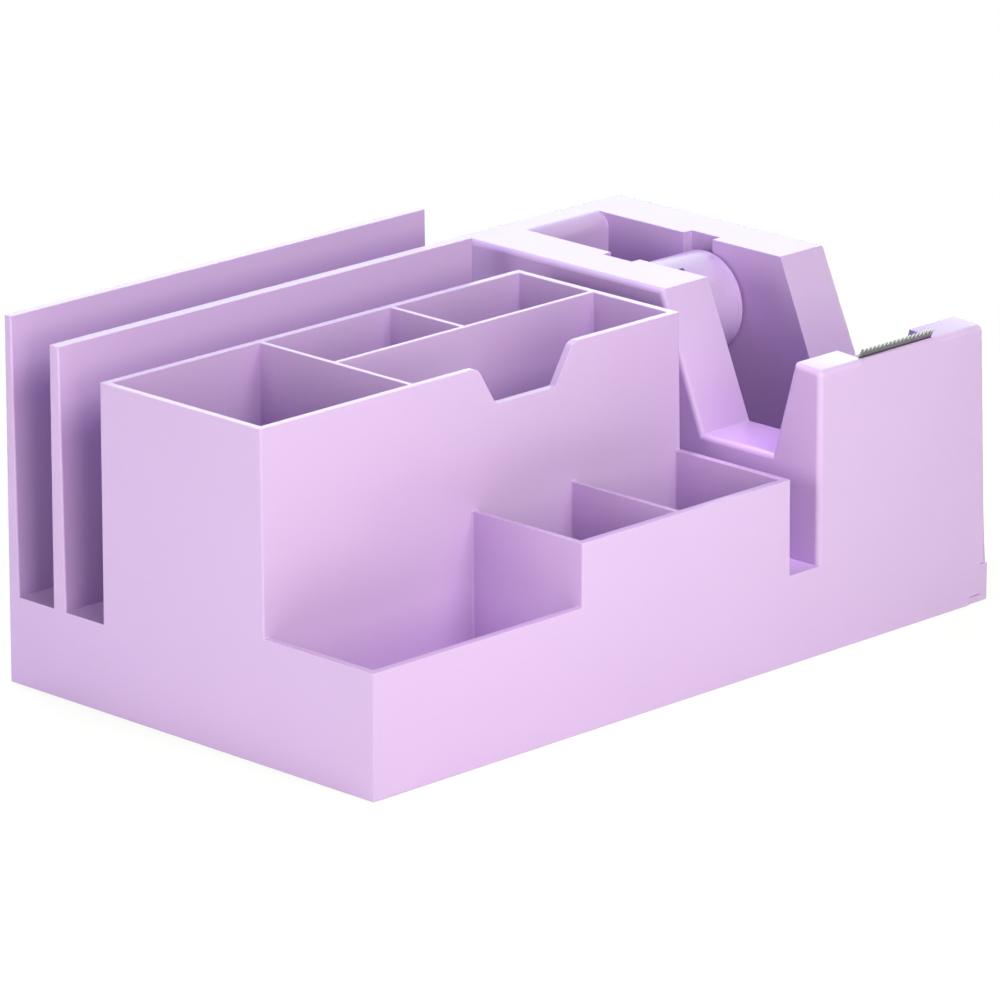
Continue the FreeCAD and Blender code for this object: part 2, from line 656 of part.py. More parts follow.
def turned(name, half_section):
    """A turned piece: a body revolved about X from its half section of (x, radius) points."""
    body = doc.addObject("PartDesign::Body", name)
    half = body.newObject("Sketcher::SketchObject", name + "_half")
    attach(half, body, "XZ_Plane")
    draw_outline(half, half_section)
    turn = body.newObject("PartDesign::Revolution", name + "_turn")
    turn.Profile = half
    turn.ReferenceAxis = (half, ["H_Axis"])
    turn.Angle = 360
    doc.recompute()
    return body


def seat_on_axle(body, label):
    """Finish a turned piece on the axle line."""
    finish(body, label)
    return bind(body, Base_y="axle_y - depth / 2", Base_z="axle_z")


def make_hub_barrel(left, right):
    """Barrel with three grip windows around it."""
    barrel = turned("hub_barrel", [
        (left, "hub_radius - hub_wall"),
        (right, "hub_radius - hub_wall"),
        (right, "hub_radius - edge_break"),
        (f"{right} - edge_break", "hub_radius"),
        (f"{left} + edge_break", "hub_radius"),
        (left, "hub_radius - edge_break"),
    ])
    solid_volume = barrel.Shape.Volume
    window = barrel.newObject("Sketcher::SketchObject", "window")
    attach(window, barrel, "XY_Plane")
    window.setExpression("AttachmentOffset.Base.z", bound("window_low"))
    draw_outline(window, [
        ("window_left", "-window_front"),
        ("window_left + window_width", "-window_front"),
        ("window_left + window_width", "-window_back"),
        ("window_left", "-window_back"),
    ])
    first = barrel.newObject("PartDesign::Pocket", "first_window")
    first.Profile = window
    first.Type = "ThroughAll"
    first.Reversed = True
    doc.recompute()
    assert barrel.Shape.Volume < solid_volume - 1, "the grip window cuts nothing"
    ring = barrel.newObject("PartDesign::PolarPattern", "window_ring")
    ring.Originals = [first]
    along = [part for part in barrel.Origin.OriginFeatures if part.Role == "X_Axis"][0]
    ring.Axis = (along, [""])
    ring.Angle = 360
    ring.Occurrences = 3
    barrel.Tip = ring
    seat_on_axle(barrel, "hub_barrel")


def make_hub_cap(side, outer, inner, inward, outward):
    """End cap: a flange, a spigot inside the barrel and a tube around the axle."""
    tip = f"{inner} {inward} cap_spigot"
    web = f"{inner} {inward} cap_web"
    spigot = "hub_radius - hub_wall - spigot_fit"
    cap = turned(f"hub_cap_{side}", [
        (outer, "cap_bore"),
        (tip, "cap_bore"),
        (tip, "cap_bore + cap_tube"),
        (web, "cap_bore + cap_tube"),
        (web, f"{spigot} - spigot_wall"),
        (tip, f"{spigot} - spigot_wall"),
        (tip, spigot),
        (inner, spigot),
        (inner, "hub_radius - edge_break"),
        (f"{inner} {outward} edge_break", "hub_radius"),
        (f"{outer} {inward} cap_bevel", "hub_radius"),
        (outer, "hub_radius - cap_bevel"),
    ])
    seat_on_axle(cap, f"hub_cap_{side}")


def make_hub():
    """Tape hub: a barrel between two end caps, turning on a steel axle that lies in the two seats."""
    barrel_left = "(hub_left + cap_flange)"
    barrel_right = "(hub_right - cap_flange)"
    make_hub_barrel(barrel_left, barrel_right)
    make_hub_cap("left", "hub_left", barrel_left, "+", "-")
    make_hub_cap("right", "hub_right", barrel_right, "-", "+")

    axle_left = "(well_left - axle_slot_deep + axle_gap)"
    axle_right = "(well_right + axle_slot_deep - axle_gap)"
    axle = turned("hub_axle", [
        (axle_left, "0"),
        (axle_right, "0"),
        (axle_right, "axle_radius - axle_bevel"),
        (f"{axle_right} - axle_bevel", "axle_radius"),
        (f"{axle_left} + axle_bevel", "axle_radius"),
        (axle_left, "axle_radius - axle_bevel"),
    ])
    seat_on_axle(axle, "hub_axle")


# ---------------------------------------------------------------- drawer

def make_drawer():
    """Shallow tray with two stop tabs, and its front with a heel that passes under the skirt."""
    far_side = "(depth - tray_side)"
    tray_right = "(skirt_end + seam)"
    outside = box("tray_outside", ("tray_left", tray_right), ("tray_side", far_side),
                  ("tray_bottom", "tray_top"))
    inside = box("tray_inside", ("tray_left + tray_wall", f"{tray_right} - tray_wall"),
                 ("tray_side + tray_wall", f"{far_side} - tray_wall"),
                 ("tray_bottom + tray_wall", "tray_top + past"))
    open_tray = cut("tray_open", outside, [inside])
    tab_long = ("tray_left", "tray_left + stop_long")
    tab_high = ("tray_bottom", "rib_top")
    front_tab = box("front_tab", tab_long, ("tray_side - stop_tab", "tray_side"), tab_high)
    rear_tab = box("rear_tab", tab_long, (far_side, f"{far_side} + stop_tab"), tab_high)
    finish(fuse("drawer_tray", [open_tray, front_tab, rear_tab]), "drawer_tray")

    across = ("front_inset", "depth - front_inset")
    plate = box("front_plate", (tray_right, "overall_length"), across, ("front_bottom", "front_top"))

    def outer_edges(edge):
        return edge.XMin > size("overall_length") - NEAR

    soft_plate = rounded("front_plate_soft", plate, [("front_round", outer_edges)])
    heel = box("heel", ("heel_left", tray_right), across, ("front_bottom", "heel_top"))
    finish(fuse("drawer_front", [soft_plate, heel]), "drawer_front")


# ---------------------------------------------------------------- underside

def make_bottom_cover():
    """Plate that closes the bottom and carries the drawer between two guide ribs."""
    inner = ("wall + cover_gap", "depth - wall - cover_gap")
    plate = box("cover_plate", ("wall + cover_gap", "cover_right"), inner, ("cover_bottom", "cover_top"))
    far_rib = "(depth - rib_front)"
    rib_ends = ("tray_left", "cover_right")
    ribs = [
        box("front_rib", rib_ends, ("rib_front", "rib_front + rib_thick"), ("cover_top", "rib_top")),
        box("rear_rib", rib_ends, (f"{far_rib} - rib_thick", far_rib), ("cover_top", "rib_top")),
    ]
    front_block = ("rib_front + rib_thick", "rib_front + rib_thick + pad_proud")
    rear_block = (f"{far_rib} - rib_thick - pad_proud", f"{far_rib} - rib_thick")
    stop = "(tray_left + stop_long + drawer_travel)"
    blocks = []
    for number, left in enumerate((stop, "(cover_right - block_inset)")):
        ends = (left, f"{left} + block_long")
        blocks.append(box(f"front_block_{number}", ends, front_block, ("cover_top", "rib_top")))
        blocks.append(box(f"rear_block_{number}", ends, rear_block, ("cover_top", "rib_top")))
    blank = fuse("cover_with_ribs", [plate] + ribs + blocks)
    holes = screw_holes("cover", boss_places(), "cover_bottom", "cover_top")
    return finish(cut("bottom_cover", blank, holes), "bottom_cover")


def screw_holes(name, places, lower_face, upper_face):
    """Clearance holes with a sink for the head in the lower face."""
    holes = []
    for number, (x, y) in enumerate(places):
        below = (x, y, f"{lower_face} - past")
        through = f"{upper_face} - {lower_face} + 2 * past"
        holes.append(cylinder(f"{name}_hole_{number}", "screw_hole + head_gap", through, below))
        holes.append(cylinder(f"{name}_sink_{number}", "screw_head + head_gap", "cover_sink + past", below))
    return holes


def screws(name, places, face, tip):
    """A set of identical screws that point up, heads below, each with a cross recess."""
    low = f"{face} + head_gap"
    slot_high = (f"{face} - past", f"{low} + cross_deep")
    parts = []
    for number, (x, y) in enumerate(places):
        head = cylinder(f"{name}_head_{number}", "screw_head", "head_high", (x, y, low))
        shank = cylinder(f"{name}_shank_{number}", "screw_radius", f"{tip} - ({low})", (x, y, low))
        blank = fuse(f"{name}_blank_{number}", [head, shank])
        slots = []
        for arm, half_x, half_y in (("a", "cross_arm", "cross_half"), ("b", "cross_half", "cross_arm")):
            slots.append(box(f"{name}_slot_{arm}_{number}", (f"{x} - {half_x}", f"{x} + {half_x}"),
                             (f"{y} - {half_y}", f"{y} + {half_y}"), slot_high))
        parts.append(cut(f"{name}_{number}", blank, slots))
    group = doc.addObject("Part::Compound", name)
    group.Links = parts
    return finish(group, name)


def make_feet():
    """Four thin pads under the bottom cover."""
    for x_name, x in (("left", "pad_inset"), ("right", "cover_right - pad_inset")):
        for y_name, y in (("front", "pad_inset"), ("rear", "depth - pad_inset")):
            pad = cylinder(f"foot_{y_name}_{x_name}", "pad_radius", "cover_bottom", (x, y, "0"))
            pad.Label = f"foot_{y_name}_{x_name}"
            bind(pad, Base_x=f"{x} - overall_length / 2", Base_y=f"{y} - depth / 2")
            PIECES.append(pad)


def make_ballast():
    """Steel weight under the tape well, and the plate that holds it from below."""
    right = "(ballast_left + ballast_long)"
    back = "(ballast_front + ballast_deep)"
    plate = box("ballast_blank", ("ballast_left", right), ("ballast_front", back),
                ("ballast_bottom", "ballast_bottom + ballast_thick"))
    holes = [cylinder(f"ballast_hole_{number}", "screw_hole + weight_hole_gap", "ballast_thick + 2 * past",
                      (x, y, "ballast_bottom - past")) for number, (x, y) in enumerate(ballast_places())]
    finish(cut("ballast_plate", plate, holes), "ballast_plate")

    along = ("house_left_foot + wall + cover_gap", "house_right_foot - wall - cover_gap")
    across = ("wall + cover_gap", "depth - wall - cover_gap")
    holder = box("holder_blank", along, across, ("holder_bottom", "ballast_bottom"))
    holder_holes = screw_holes("holder", ballast_places(), "holder_bottom", "ballast_bottom")
    finish(cut("ballast_holder", holder, holder_holes), "ballast_holder")


def write_pieces():
    """Check every object and piece, then write one STEP file for each piece."""
    doc.recompute()
    for thing in doc.Objects:
        faults = [word for word in thing.State if word in ("Invalid", "Error")]
        assert not faults, f"{thing.Name}: {thing.State}"
    for piece in PIECES:
        assert not piece.Shape.isNull() and piece.Shape.isValid(), piece.Label
    os.makedirs("parts", exist_ok=True)
    for piece in PIECES:
        piece.Shape.exportStep(f"parts/{piece.Label}.step")
        limits = piece.Shape.BoundBox
        print(f"{piece.Label:18s} solids {len(piece.Shape.Solids)} volume {piece.Shape.Volume:10.1f}"
              f"  x {limits.XMin:7.2f} {limits.XMax:7.2f}  y {limits.YMin:6.2f} {limits.YMax:6.2f}"
              f"  z {limits.ZMin:5.2f} {limits.ZMax:5.2f}")


make_base_shell()
make_pen_box()
make_front_tray()
make_file_panels()
make_tape_housing()
make_blade()
make_hub()
make_drawer()
make_bottom_cover()
screws("cover_screws", boss_places(), "cover_bottom", "screw_tip")
make_ballast()
weight_screw_tip = "ballast_bottom + ballast_thick + weight_screw_grip"
screws("ballast_screws", ballast_places(), "holder_bottom", weight_screw_tip)
make_feet()
write_pieces()
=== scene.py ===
import math

import bmesh
import bpy
from mathutils import Matrix, Vector


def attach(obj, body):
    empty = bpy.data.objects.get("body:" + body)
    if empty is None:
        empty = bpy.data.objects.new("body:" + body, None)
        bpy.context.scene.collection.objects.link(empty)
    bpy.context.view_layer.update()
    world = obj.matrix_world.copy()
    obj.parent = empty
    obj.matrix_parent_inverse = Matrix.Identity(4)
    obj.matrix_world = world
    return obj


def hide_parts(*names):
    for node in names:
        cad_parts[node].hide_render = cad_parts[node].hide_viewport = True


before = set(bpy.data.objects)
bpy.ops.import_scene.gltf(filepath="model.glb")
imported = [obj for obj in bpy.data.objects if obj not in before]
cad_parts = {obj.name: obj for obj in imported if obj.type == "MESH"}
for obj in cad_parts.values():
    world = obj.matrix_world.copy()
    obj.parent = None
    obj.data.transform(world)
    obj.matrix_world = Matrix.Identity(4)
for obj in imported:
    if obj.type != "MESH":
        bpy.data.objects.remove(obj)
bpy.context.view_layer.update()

# Desk organizer with a tape dispenser and a drawer. The pieces are laid out in millimetres from the
# left front bottom corner of the moulding, X along the front, Y to the back and Z up, and a finished
# mesh is then put in the frame, whose origin is the middle of the footprint.

MM = 0.001
LENGTH, DEPTH = 207.6, 121.0
INTO_FRAME = Matrix.Scale(MM, 4) @ Matrix.Translation((-LENGTH / 2, -DEPTH / 2, 0))

# TAPER is how far each side of a cup leans in to its foot, and PAST is how far a cutting block reaches
# past the face that it cuts.
WALL = 2.0
DIVIDER = 1.4
TAPER = 0.3
PAST = 1.0
SKIRT_END, SKIRT_BOTTOM = 204.8, 0.15
DECK_BOTTOM, DECK_TOP = 11.2, 13.0
SLOT_FLOOR, GAP_FLOOR = 21.5, 22.2

BOX_TOP = 79.4
BOX_RIGHT_FOOT, BOX_RIGHT_RIM = 137.0, 136.2
BOX_FRONT_FOOT, BOX_FRONT_RIM = 34.9, 35.7
BOX_BACK = 88.7
LEFT_DIVIDER, LONG_DIVIDER, SHORT_DIVIDER = 48.5, 62.0, 90.9
NOTCH_BOTTOM, NOTCH_LEFT, NOTCH_RIGHT, NOTCH_FLARE, NOTCH_ROUND = 69.7, 74.8, 94.4, 5.9, 3.0

TRAY_LOW, TRAY_HIGH = 30.4, 45.8
TRAY_STEP, TRAY_DIVIDER = 66.7, 99.4
PANEL_RIGHT = 134.6
# For each file panel: its back face, its thickness at the foot and at the rim, and its top.
BACK_PANEL = (DEPTH, 3.5, 2.3, 89.0)
MIDDLE_PANEL = (105.7, 4.3, 3.1, 84.9)

HOUSE_BOTTOM = 9.8
HOUSE_LEFT_FOOT, HOUSE_LEFT_TOP = 146.4, 147.4
HOUSE_RIGHT_FOOT, HOUSE_RIGHT_TOP = 206.6, 204.8
HOUSE_FRONT_LEAN, HOUSE_BACK_LEAN = 0.9, 0.7
TOWER_TOP, TOWER_BACK, TOWER_FOOT = 70.0, 9.3, 15.5
VALLEY_FLOOR, BLOCK_FOOT, BLOCK_FRONT = 46.5, 38.0, 52.0
NOSE_TOP, NOSE_ROUND = 69.5, 1.5
WELL_LEFT, WELL_RIGHT, WELL_FRONT, WELL_BACK, WELL_FLOOR = 163.4, 189.0, 16.5, 109.5, 24.0
WELL_ROUND = 4.0
AXLE_Y, AXLE_Z = 76.1, 63.9
SEAT_RADIUS, AXLE_SLOT_BACK, AXLE_SLOT_DEEP, AXLE_RAMP = 1.57, 84.0, 2.8, 3.0
RECESS_LEFT, RECESS_RIGHT, RECESS_FLOOR = 162.4, 188.0, 67.2
LIP_BACK, LIP_TOP, LIP_SLOPE = 2.3, 69.5, 3.6

HEEL_LEFT, HEEL_TOP, HEEL_GAP = 201.2, 2.0, 0.2
TOWER_SHIFT, TOWER_TOP_SHIFT, TOWER_TOP_DROP, BLOCK_SHIFT = 1.6, 2.6, 4.4, 1.3

AXLE_RADIUS, AXLE_GAP = 1.5, 0.4
HUB_RADIUS, HUB_WALL, HUB_LEFT, HUB_RIGHT = 12.6, 1.6, 164.1, 188.5
CAP_FLANGE, CAP_SPIGOT, CAP_WEB, CAP_TUBE, CAP_BORE = 1.7, 3.0, 0.6, 2.0, 1.56
SPIGOT_WALL, SPIGOT_FIT = 1.4, 0.05
WINDOWS, WINDOW_LEFT, WINDOW_WIDTH = 3, 172.4, 2.6
WINDOW_FRONT, WINDOW_BACK, WINDOW_LOW = 12.0, 4.9, 3.8
BLADE_FIT, BLADE_END_GAP = 0.05, 0.2
BLADE_THICK, BLADE_TOP, BLADE_LEAN, BLADE_BASE = 0.5, 71.9, 1.2, 6.2
TOOTH_PITCH, TOOTH_DEEP = 1.4, 1.1
TRAY_LEFT, TRAY_SIDE, TRAY_BOTTOM, TRAY_TOP, TRAY_WALL = 4.0, 10.4, 2.8, 9.3, 1.5
STOP_TAB, STOP_LONG, RIB_TOP = 1.3, 3.0, 8.5
SEAM, FRONT_BOTTOM, FRONT_TOP, FRONT_INSET = 0.15, 0.3, 9.6, 0.2

# How far each kind of edge is rounded.
EDGE_ROUND, UPRIGHT_ROUND, HOUSE_ROUND, SEAM_ROUND = 0.15, 0.5, 1.4, 0.08
DRAWER_ROUND, CAP_ROUND, HUB_EDGE, AXLE_BEVEL, BLADE_EDGE = 0.3, 0.5, 0.15, 0.3, 0.05
COVER_ROUND, BALLAST_ROUND, SCREW_ROUND, FOOT_ROUND = 0.15, 0.3, 0.06, 0.2

# NEAR and MERGE are lengths within which points count as one. An edge is rounded where its faces turn by
# more than SHARP, faces that turn by less than FLAT become one, and UPRIGHT is the least rise of an
# upright edge, as a share of its length.
NEAR, MERGE = 0.001, 0.002
SHARP, FLAT = math.radians(20), math.radians(0.25)
UPRIGHT = 0.99

LILAC = (0.50, 0.29, 0.66)
HUB_LILAC = (0.52, 0.31, 0.70)
NORMAL_SHEEN = (0.42, 0.38, 0.46)
# The blade's own grey, and a painted shadow colour that darkens its foot along the lip line. The painted
# shadow fades into the grey between the two heights on the next line, in millimetres.
BLADE_PAINTED_SHADOW, BLADE_GREY = (0.10, 0.09, 0.10), (0.30, 0.29, 0.30)
BLADE_SHADOW_FROM, BLADE_SHADOW_TO = 69.5, 69.9
RUBBER_DARK, RUBBER_PALE = (0.12, 0.12, 0.13), (0.16, 0.16, 0.17)
STREAK_DARK, STREAK_PALE = (0.8, 0.8, 0.8), (1, 1, 1)
FLOOR_PALE, FLOOR_REACH = (0.93, 0.93, 0.94), 6
FEET = [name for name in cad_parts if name.startswith("foot")]


# ------------------------------------------------------------------ making solids

def drafted(x, y, z, top_x=None, top_y=None):
    """A block between three pairs of distances, whose rim may be narrower than its foot."""
    mesh = bmesh.new()
    bmesh.ops.create_cube(mesh, size=1)
    top_x, top_y = top_x or x, top_y or y
    for vert in mesh.verts:
        upper = vert.co.z > 0
        along = (top_x if upper else x)[vert.co.x > 0]
        across = (top_y if upper else y)[vert.co.y > 0]
        vert.co = (along, across, z[upper])
    return mesh


def prism(side, start, end, axis="X"):
    """A side view pushed from start to end along X, from (y, z) points, or Y, from (x, z) points."""
    mesh = bmesh.new()
    if axis == "X":
        corners = [mesh.verts.new((start, y, z)) for y, z in side]
        push = (end - start, 0, 0)
    else:
        corners = [mesh.verts.new((x, start, z)) for x, z in side]
        push = (0, end - start, 0)
    face = mesh.faces.new(corners)
    pushed = bmesh.ops.extrude_face_region(mesh, geom=[face])["geom"]
    moved = [item for item in pushed if isinstance(item, bmesh.types.BMVert)]
    bmesh.ops.translate(mesh, verts=moved, vec=push)
    bmesh.ops.recalc_face_normals(mesh, faces=mesh.faces)
    return mesh


def arc(centre, radius, start, end, steps=10):
    """Points of an arc in a side view, from one angle to another in degrees."""
    angles = [math.radians(start + (end - start) * step / steps) for step in range(steps + 1)]
    return [(centre[0] + radius * math.cos(a), centre[1] + radius * math.sin(a)) for a in angles]


def round_bar(radius, start, length, sides=48):
    """A cylinder that starts at a point and runs along +X."""
    mesh = bmesh.new()
    bmesh.ops.create_cone(mesh, cap_ends=True, segments=sides, radius1=radius, radius2=radius,
                          depth=length)
    bmesh.ops.translate(mesh, verts=mesh.verts, vec=(0, 0, length / 2))
    bmesh.ops.rotate(mesh, verts=mesh.verts, matrix=Matrix.Rotation(math.radians(90), 3, "Y"))
    bmesh.ops.translate(mesh, verts=mesh.verts, vec=start)
    return mesh


def as_object(mesh, name):
    """A bmesh as an object, with its faces pointing outwards."""
    bmesh.ops.recalc_face_normals(mesh, faces=mesh.faces)
    data = bpy.data.meshes.new(name)
    mesh.to_mesh(data)
    mesh.free()
    thing = bpy.data.objects.new(name, data)
    bpy.context.scene.collection.objects.link(thing)
    return thing


def combine(base, tools, operation):
    """Add tools to a solid, or take them away from it, and drop them."""
    made = [as_object(tool, f"{base.name}_tool") for tool in tools]
    for tool in made:
        step = base.modifiers.new(operation, "BOOLEAN")
        step.operation = operation
        step.solver = "EXACT"
        step.object = tool
    bake_modifiers(base)
    for tool in made:
        bpy.data.objects.remove(tool)


def bake_modifiers(thing):
    """Replace a mesh by what its modifiers make of it."""
    graph = bpy.context.evaluated_depsgraph_get()
    data = bpy.data.meshes.new_from_object(thing.evaluated_get(graph))
    thing.modifiers.clear()
    thing.data = data


def tidy_mesh(thing):
    """Merge doubles and flat neighbours, so that only real edges are left."""
    mesh = bmesh.new()
    mesh.from_mesh(thing.data)
    bmesh.ops.remove_doubles(mesh, verts=mesh.verts, dist=MERGE)
    bmesh.ops.dissolve_limit(mesh, angle_limit=FLAT, verts=mesh.verts, edges=mesh.edges)
    mesh.to_mesh(thing.data)
    mesh.free()


def round_edges(thing, widest, width_of=None, segments=4):
    """Round the sharp edges; width_of gives the width from an edge's middle and whether it stands."""
    mesh = bmesh.new()
    mesh.from_mesh(thing.data)
    weight = mesh.edges.layers.float.new("bevel_weight_edge")
    for edge in mesh.edges:
        if len(edge.link_faces) == 2 and edge.calc_face_angle() > SHARP:
            start, end = (vert.co for vert in edge.verts)
            upright = abs(end.z - start.z) > UPRIGHT * (end - start).length
            edge[weight] = width_of((start + end) / 2, upright) / widest if width_of else 1
    mesh.to_mesh(thing.data)
    mesh.free()
    bevel = thing.modifiers.new("rounding", "BEVEL")
    bevel.width = widest * MM
    bevel.segments = segments
    bevel.limit_method = "WEIGHT"
    bevel.use_clamp_overlap = False
    thing.modifiers.new("shading", "WEIGHTED_NORMAL")


def place(thing, body, nodes, material):
    """Put a finished piece, laid out in millimetres, in the frame in place of its nodes."""
    thing.data.transform(INTO_FRAME)
    dress(thing, body, nodes, material)


def dress(thing, body, nodes, material):
    """Give a piece its body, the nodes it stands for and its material."""
    for face in thing.data.polygons:
        face.use_smooth = True
    thing.data.materials.clear()
    thing.data.materials.append(material)
    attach(thing, body)
    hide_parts(*nodes)


# ------------------------------------------------------------------ the organizer's moulding

def lean(thing, axis, foot, rim, low, high):
    """Draft a wall: its vertices go from foot to rim as they rise from low to high."""
    for vert in thing.data.vertices:
        if abs(vert.co[axis] - foot) < NEAR and vert.co.z > low:
            vert.co[axis] += (rim - foot) * (vert.co.z - low) / (high - low)


def house_front(z):
    """Front face of the tape housing at a height, drafted above the base."""
    return HOUSE_FRONT_LEAN * max(0, z - GAP_FLOOR) / (BOX_TOP - GAP_FLOOR)


def house_back(z):
    """Back face of the tape housing at a height, drafted above the base."""
    return DEPTH - HOUSE_BACK_LEAN * max(0, z - GAP_FLOOR) / (BOX_TOP - GAP_FLOOR)


def house_block():
    """Tower, valley and rear block; the tower is left a little high for its crown to be cut."""
    spare = PAST / 2
    slope = (TOWER_FOOT - TOWER_BACK) / (TOWER_TOP - VALLEY_FLOOR)
    return prism([
        (0, HOUSE_BOTTOM),
        (0, GAP_FLOOR),
        (house_front(TOWER_TOP + spare), TOWER_TOP + spare),
        (TOWER_BACK - slope * spare, TOWER_TOP + spare),
        (TOWER_FOOT, VALLEY_FLOOR),
        (BLOCK_FOOT, VALLEY_FLOOR),
        (BLOCK_FRONT, BOX_TOP),
        (house_back(BOX_TOP), BOX_TOP),
        (DEPTH, GAP_FLOOR),
        (DEPTH, HOUSE_BOTTOM),
    ], HOUSE_LEFT_FOOT, HOUSE_RIGHT_FOOT)


def tower_crown():
    """The tower's top in side view: a rounded front edge and a top that rises to the back."""
    fall = (TOWER_TOP - NOSE_TOP) / (TOWER_BACK - HOUSE_FRONT_LEAN)
    slant = HOUSE_FRONT_LEAN / (BOX_TOP - GAP_FLOOR)
    corner = (TOWER_TOP - fall * TOWER_BACK - GAP_FLOOR) / (1 - slant * fall)
    face, top = math.atan(slant), math.atan(fall)
    tangent = NOSE_ROUND / math.tan((math.pi / 2 + top - face) / 2)
    low = GAP_FLOOR + corner - tangent * math.cos(face)
    centre = (house_front(low) + NOSE_ROUND * math.cos(face), low - NOSE_ROUND * math.sin(face))
    side = arc(centre, NOSE_ROUND, 180 - math.degrees(face), 90 + math.degrees(top))
    return side + [(TOWER_BACK + PAST, TOWER_TOP + fall * PAST)]


def split_at(points, y):
    """A side view's points in front of a distance and behind it, with one on it in both."""
    before = [point for point in points if point[0] < y]
    behind = [point for point in points if point[0] > y]
    (near_y, near_z), (far_y, far_z) = before[-1], behind[0]
    on_it = (y, near_z + (far_z - near_z) * (y - near_y) / (far_y - near_y))
    return before + [on_it], [on_it] + behind


def crown_cuts():
    """What is cut off the tower beside the recess; the sloped ends of the lip stay in front."""
    before, behind = split_at(tower_crown(), LIP_BACK)
    high = TOWER_TOP + PAST
    over_nose = [(-PAST, before[0][1])] + before + [(LIP_BACK, high), (-PAST, high)]
    over_top = behind + [(behind[-1][0], high), (LIP_BACK, high)]
    left = (HOUSE_LEFT_FOOT - PAST, RECESS_LEFT, 1)
    right = (HOUSE_RIGHT_FOOT + PAST, RECESS_RIGHT, -1)
    cuts = []
    for outer, inner, inward in (left, right):
        nose = prism(over_nose, outer, inner)
        for vert in nose.verts:
            if abs(vert.co.x - inner) < NEAR:
                vert.co.x -= inward * (LIP_TOP - vert.co.z)
        cuts += [nose, prism(over_top, outer, inner + inward * PAST)]
    return cuts


def panel(back, foot, rim, top):
    """An upright file panel whose front face is drafted."""
    return drafted((0, PANEL_RIGHT), (back - foot, back), (SLOT_FLOOR - PAST, top),
                   top_y=(back - rim, back))


def outside_blocks():
    """Everything that is added to the base block."""
    root = DECK_TOP - PAST
    return [
        drafted((0, HOUSE_LEFT_FOOT + PAST), (0, DEPTH), (HOUSE_BOTTOM - PAST, DECK_TOP)),
        drafted((0, HOUSE_LEFT_FOOT + PAST), (BOX_BACK, DEPTH), (root, SLOT_FLOOR)),
        drafted((BOX_RIGHT_FOOT - PAST, HOUSE_LEFT_FOOT + PAST), (0, BOX_BACK), (root, GAP_FLOOR)),
        drafted((0, BOX_RIGHT_FOOT), (BOX_FRONT_FOOT, BOX_BACK), (root, BOX_TOP)),
        drafted((0, TRAY_STEP + PAST), (0, BOX_FRONT_FOOT + PAST), (root, TRAY_LOW)),
        drafted((TRAY_STEP, BOX_RIGHT_FOOT), (0, BOX_FRONT_FOOT + PAST), (root, TRAY_HIGH)),
        panel(*BACK_PANEL),
        panel(*MIDDLE_PANEL),
        house_block(),
    ]


def cup(left, right, front, back):
    """An upright compartment that narrows a little to its foot."""
    return drafted((left + TAPER, right - TAPER), (front + TAPER, back - TAPER), (DECK_TOP, BOX_TOP),
                   (left, right), (front, back))


def cups():
    """The four upright compartments."""
    right, front, back = BOX_RIGHT_RIM - WALL, BOX_FRONT_RIM + WALL, BOX_BACK - WALL
    behind_long = LONG_DIVIDER + DIVIDER
    return [
        cup(WALL, LEFT_DIVIDER, front, back),
        cup(LEFT_DIVIDER + DIVIDER, SHORT_DIVIDER, behind_long, back),
        cup(SHORT_DIVIDER + DIVIDER, right, behind_long, back),
        cup(LEFT_DIVIDER + DIVIDER, right, front, LONG_DIVIDER),
    ]


def bays():
    """The three low compartments in front; their back is the front face of the pen box."""
    runs = [(WALL, TRAY_STEP), (TRAY_STEP + DIVIDER, TRAY_DIVIDER),
            (TRAY_DIVIDER + DIVIDER, BOX_RIGHT_FOOT - WALL - TAPER)]
    return [drafted(run, (WALL, BOX_FRONT_FOOT), (DECK_TOP, TRAY_HIGH + PAST)) for run in runs]


def notch():
    """Notch in the front rim, whose upper corners are rounded."""
    slope = math.degrees(math.atan2(BOX_TOP - NOTCH_BOTTOM, NOTCH_FLARE))
    back_off = NOTCH_ROUND * math.tan(math.radians(slope / 2))
    right, left = NOTCH_RIGHT + NOTCH_FLARE + back_off, NOTCH_LEFT - NOTCH_FLARE - back_off
    low = BOX_TOP - NOTCH_ROUND
    side = [(NOTCH_LEFT, NOTCH_BOTTOM), (NOTCH_RIGHT, NOTCH_BOTTOM)]
    side += arc((right, low), NOTCH_ROUND, 90 + slope, 90, steps=6)
    side += [(right, BOX_TOP + PAST), (left, BOX_TOP + PAST)]
    side += arc((left, low), NOTCH_ROUND, 90, 90 - slope, steps=6)
    return prism(side, BOX_FRONT_FOOT - PAST, BOX_FRONT_RIM + WALL + PAST, "Y")


def well():
    """The tape well, whose back rim is rounded."""
    side = [(WELL_FRONT, WELL_FLOOR), (WELL_BACK, WELL_FLOOR)]
    side += arc((WELL_BACK + WELL_ROUND, BOX_TOP - WELL_ROUND), WELL_ROUND, 180, 90, steps=6)
    side += [(WELL_BACK + WELL_ROUND, BOX_TOP + PAST), (WELL_FRONT, BOX_TOP + PAST)]
    return prism(side, WELL_LEFT, WELL_RIGHT)


def axle_slot(start, end):
    """Drop-in slot for the axle in one well wall, with a round seat at the front of its foot."""
    seat = arc((AXLE_Y, AXLE_Z), SEAT_RADIUS, 180, 360, steps=12)
    side = seat + [(AXLE_SLOT_BACK, AXLE_Z + AXLE_RAMP), (AXLE_SLOT_BACK, BOX_TOP + PAST),
                   (AXLE_Y - SEAT_RADIUS, BOX_TOP + PAST)]
    return prism(side, start, end)


def blade_room():
    """Room for the blade on top of the tower, and the cut over the lip."""
    along = (RECESS_LEFT, RECESS_RIGHT)
    return [
        drafted(along, (LIP_BACK, TOWER_FOOT + PAST), (RECESS_FLOOR, TOWER_TOP + PAST)),
        drafted(along, (-PAST, TOWER_BACK), (LIP_TOP, TOWER_TOP + PAST)),
    ]


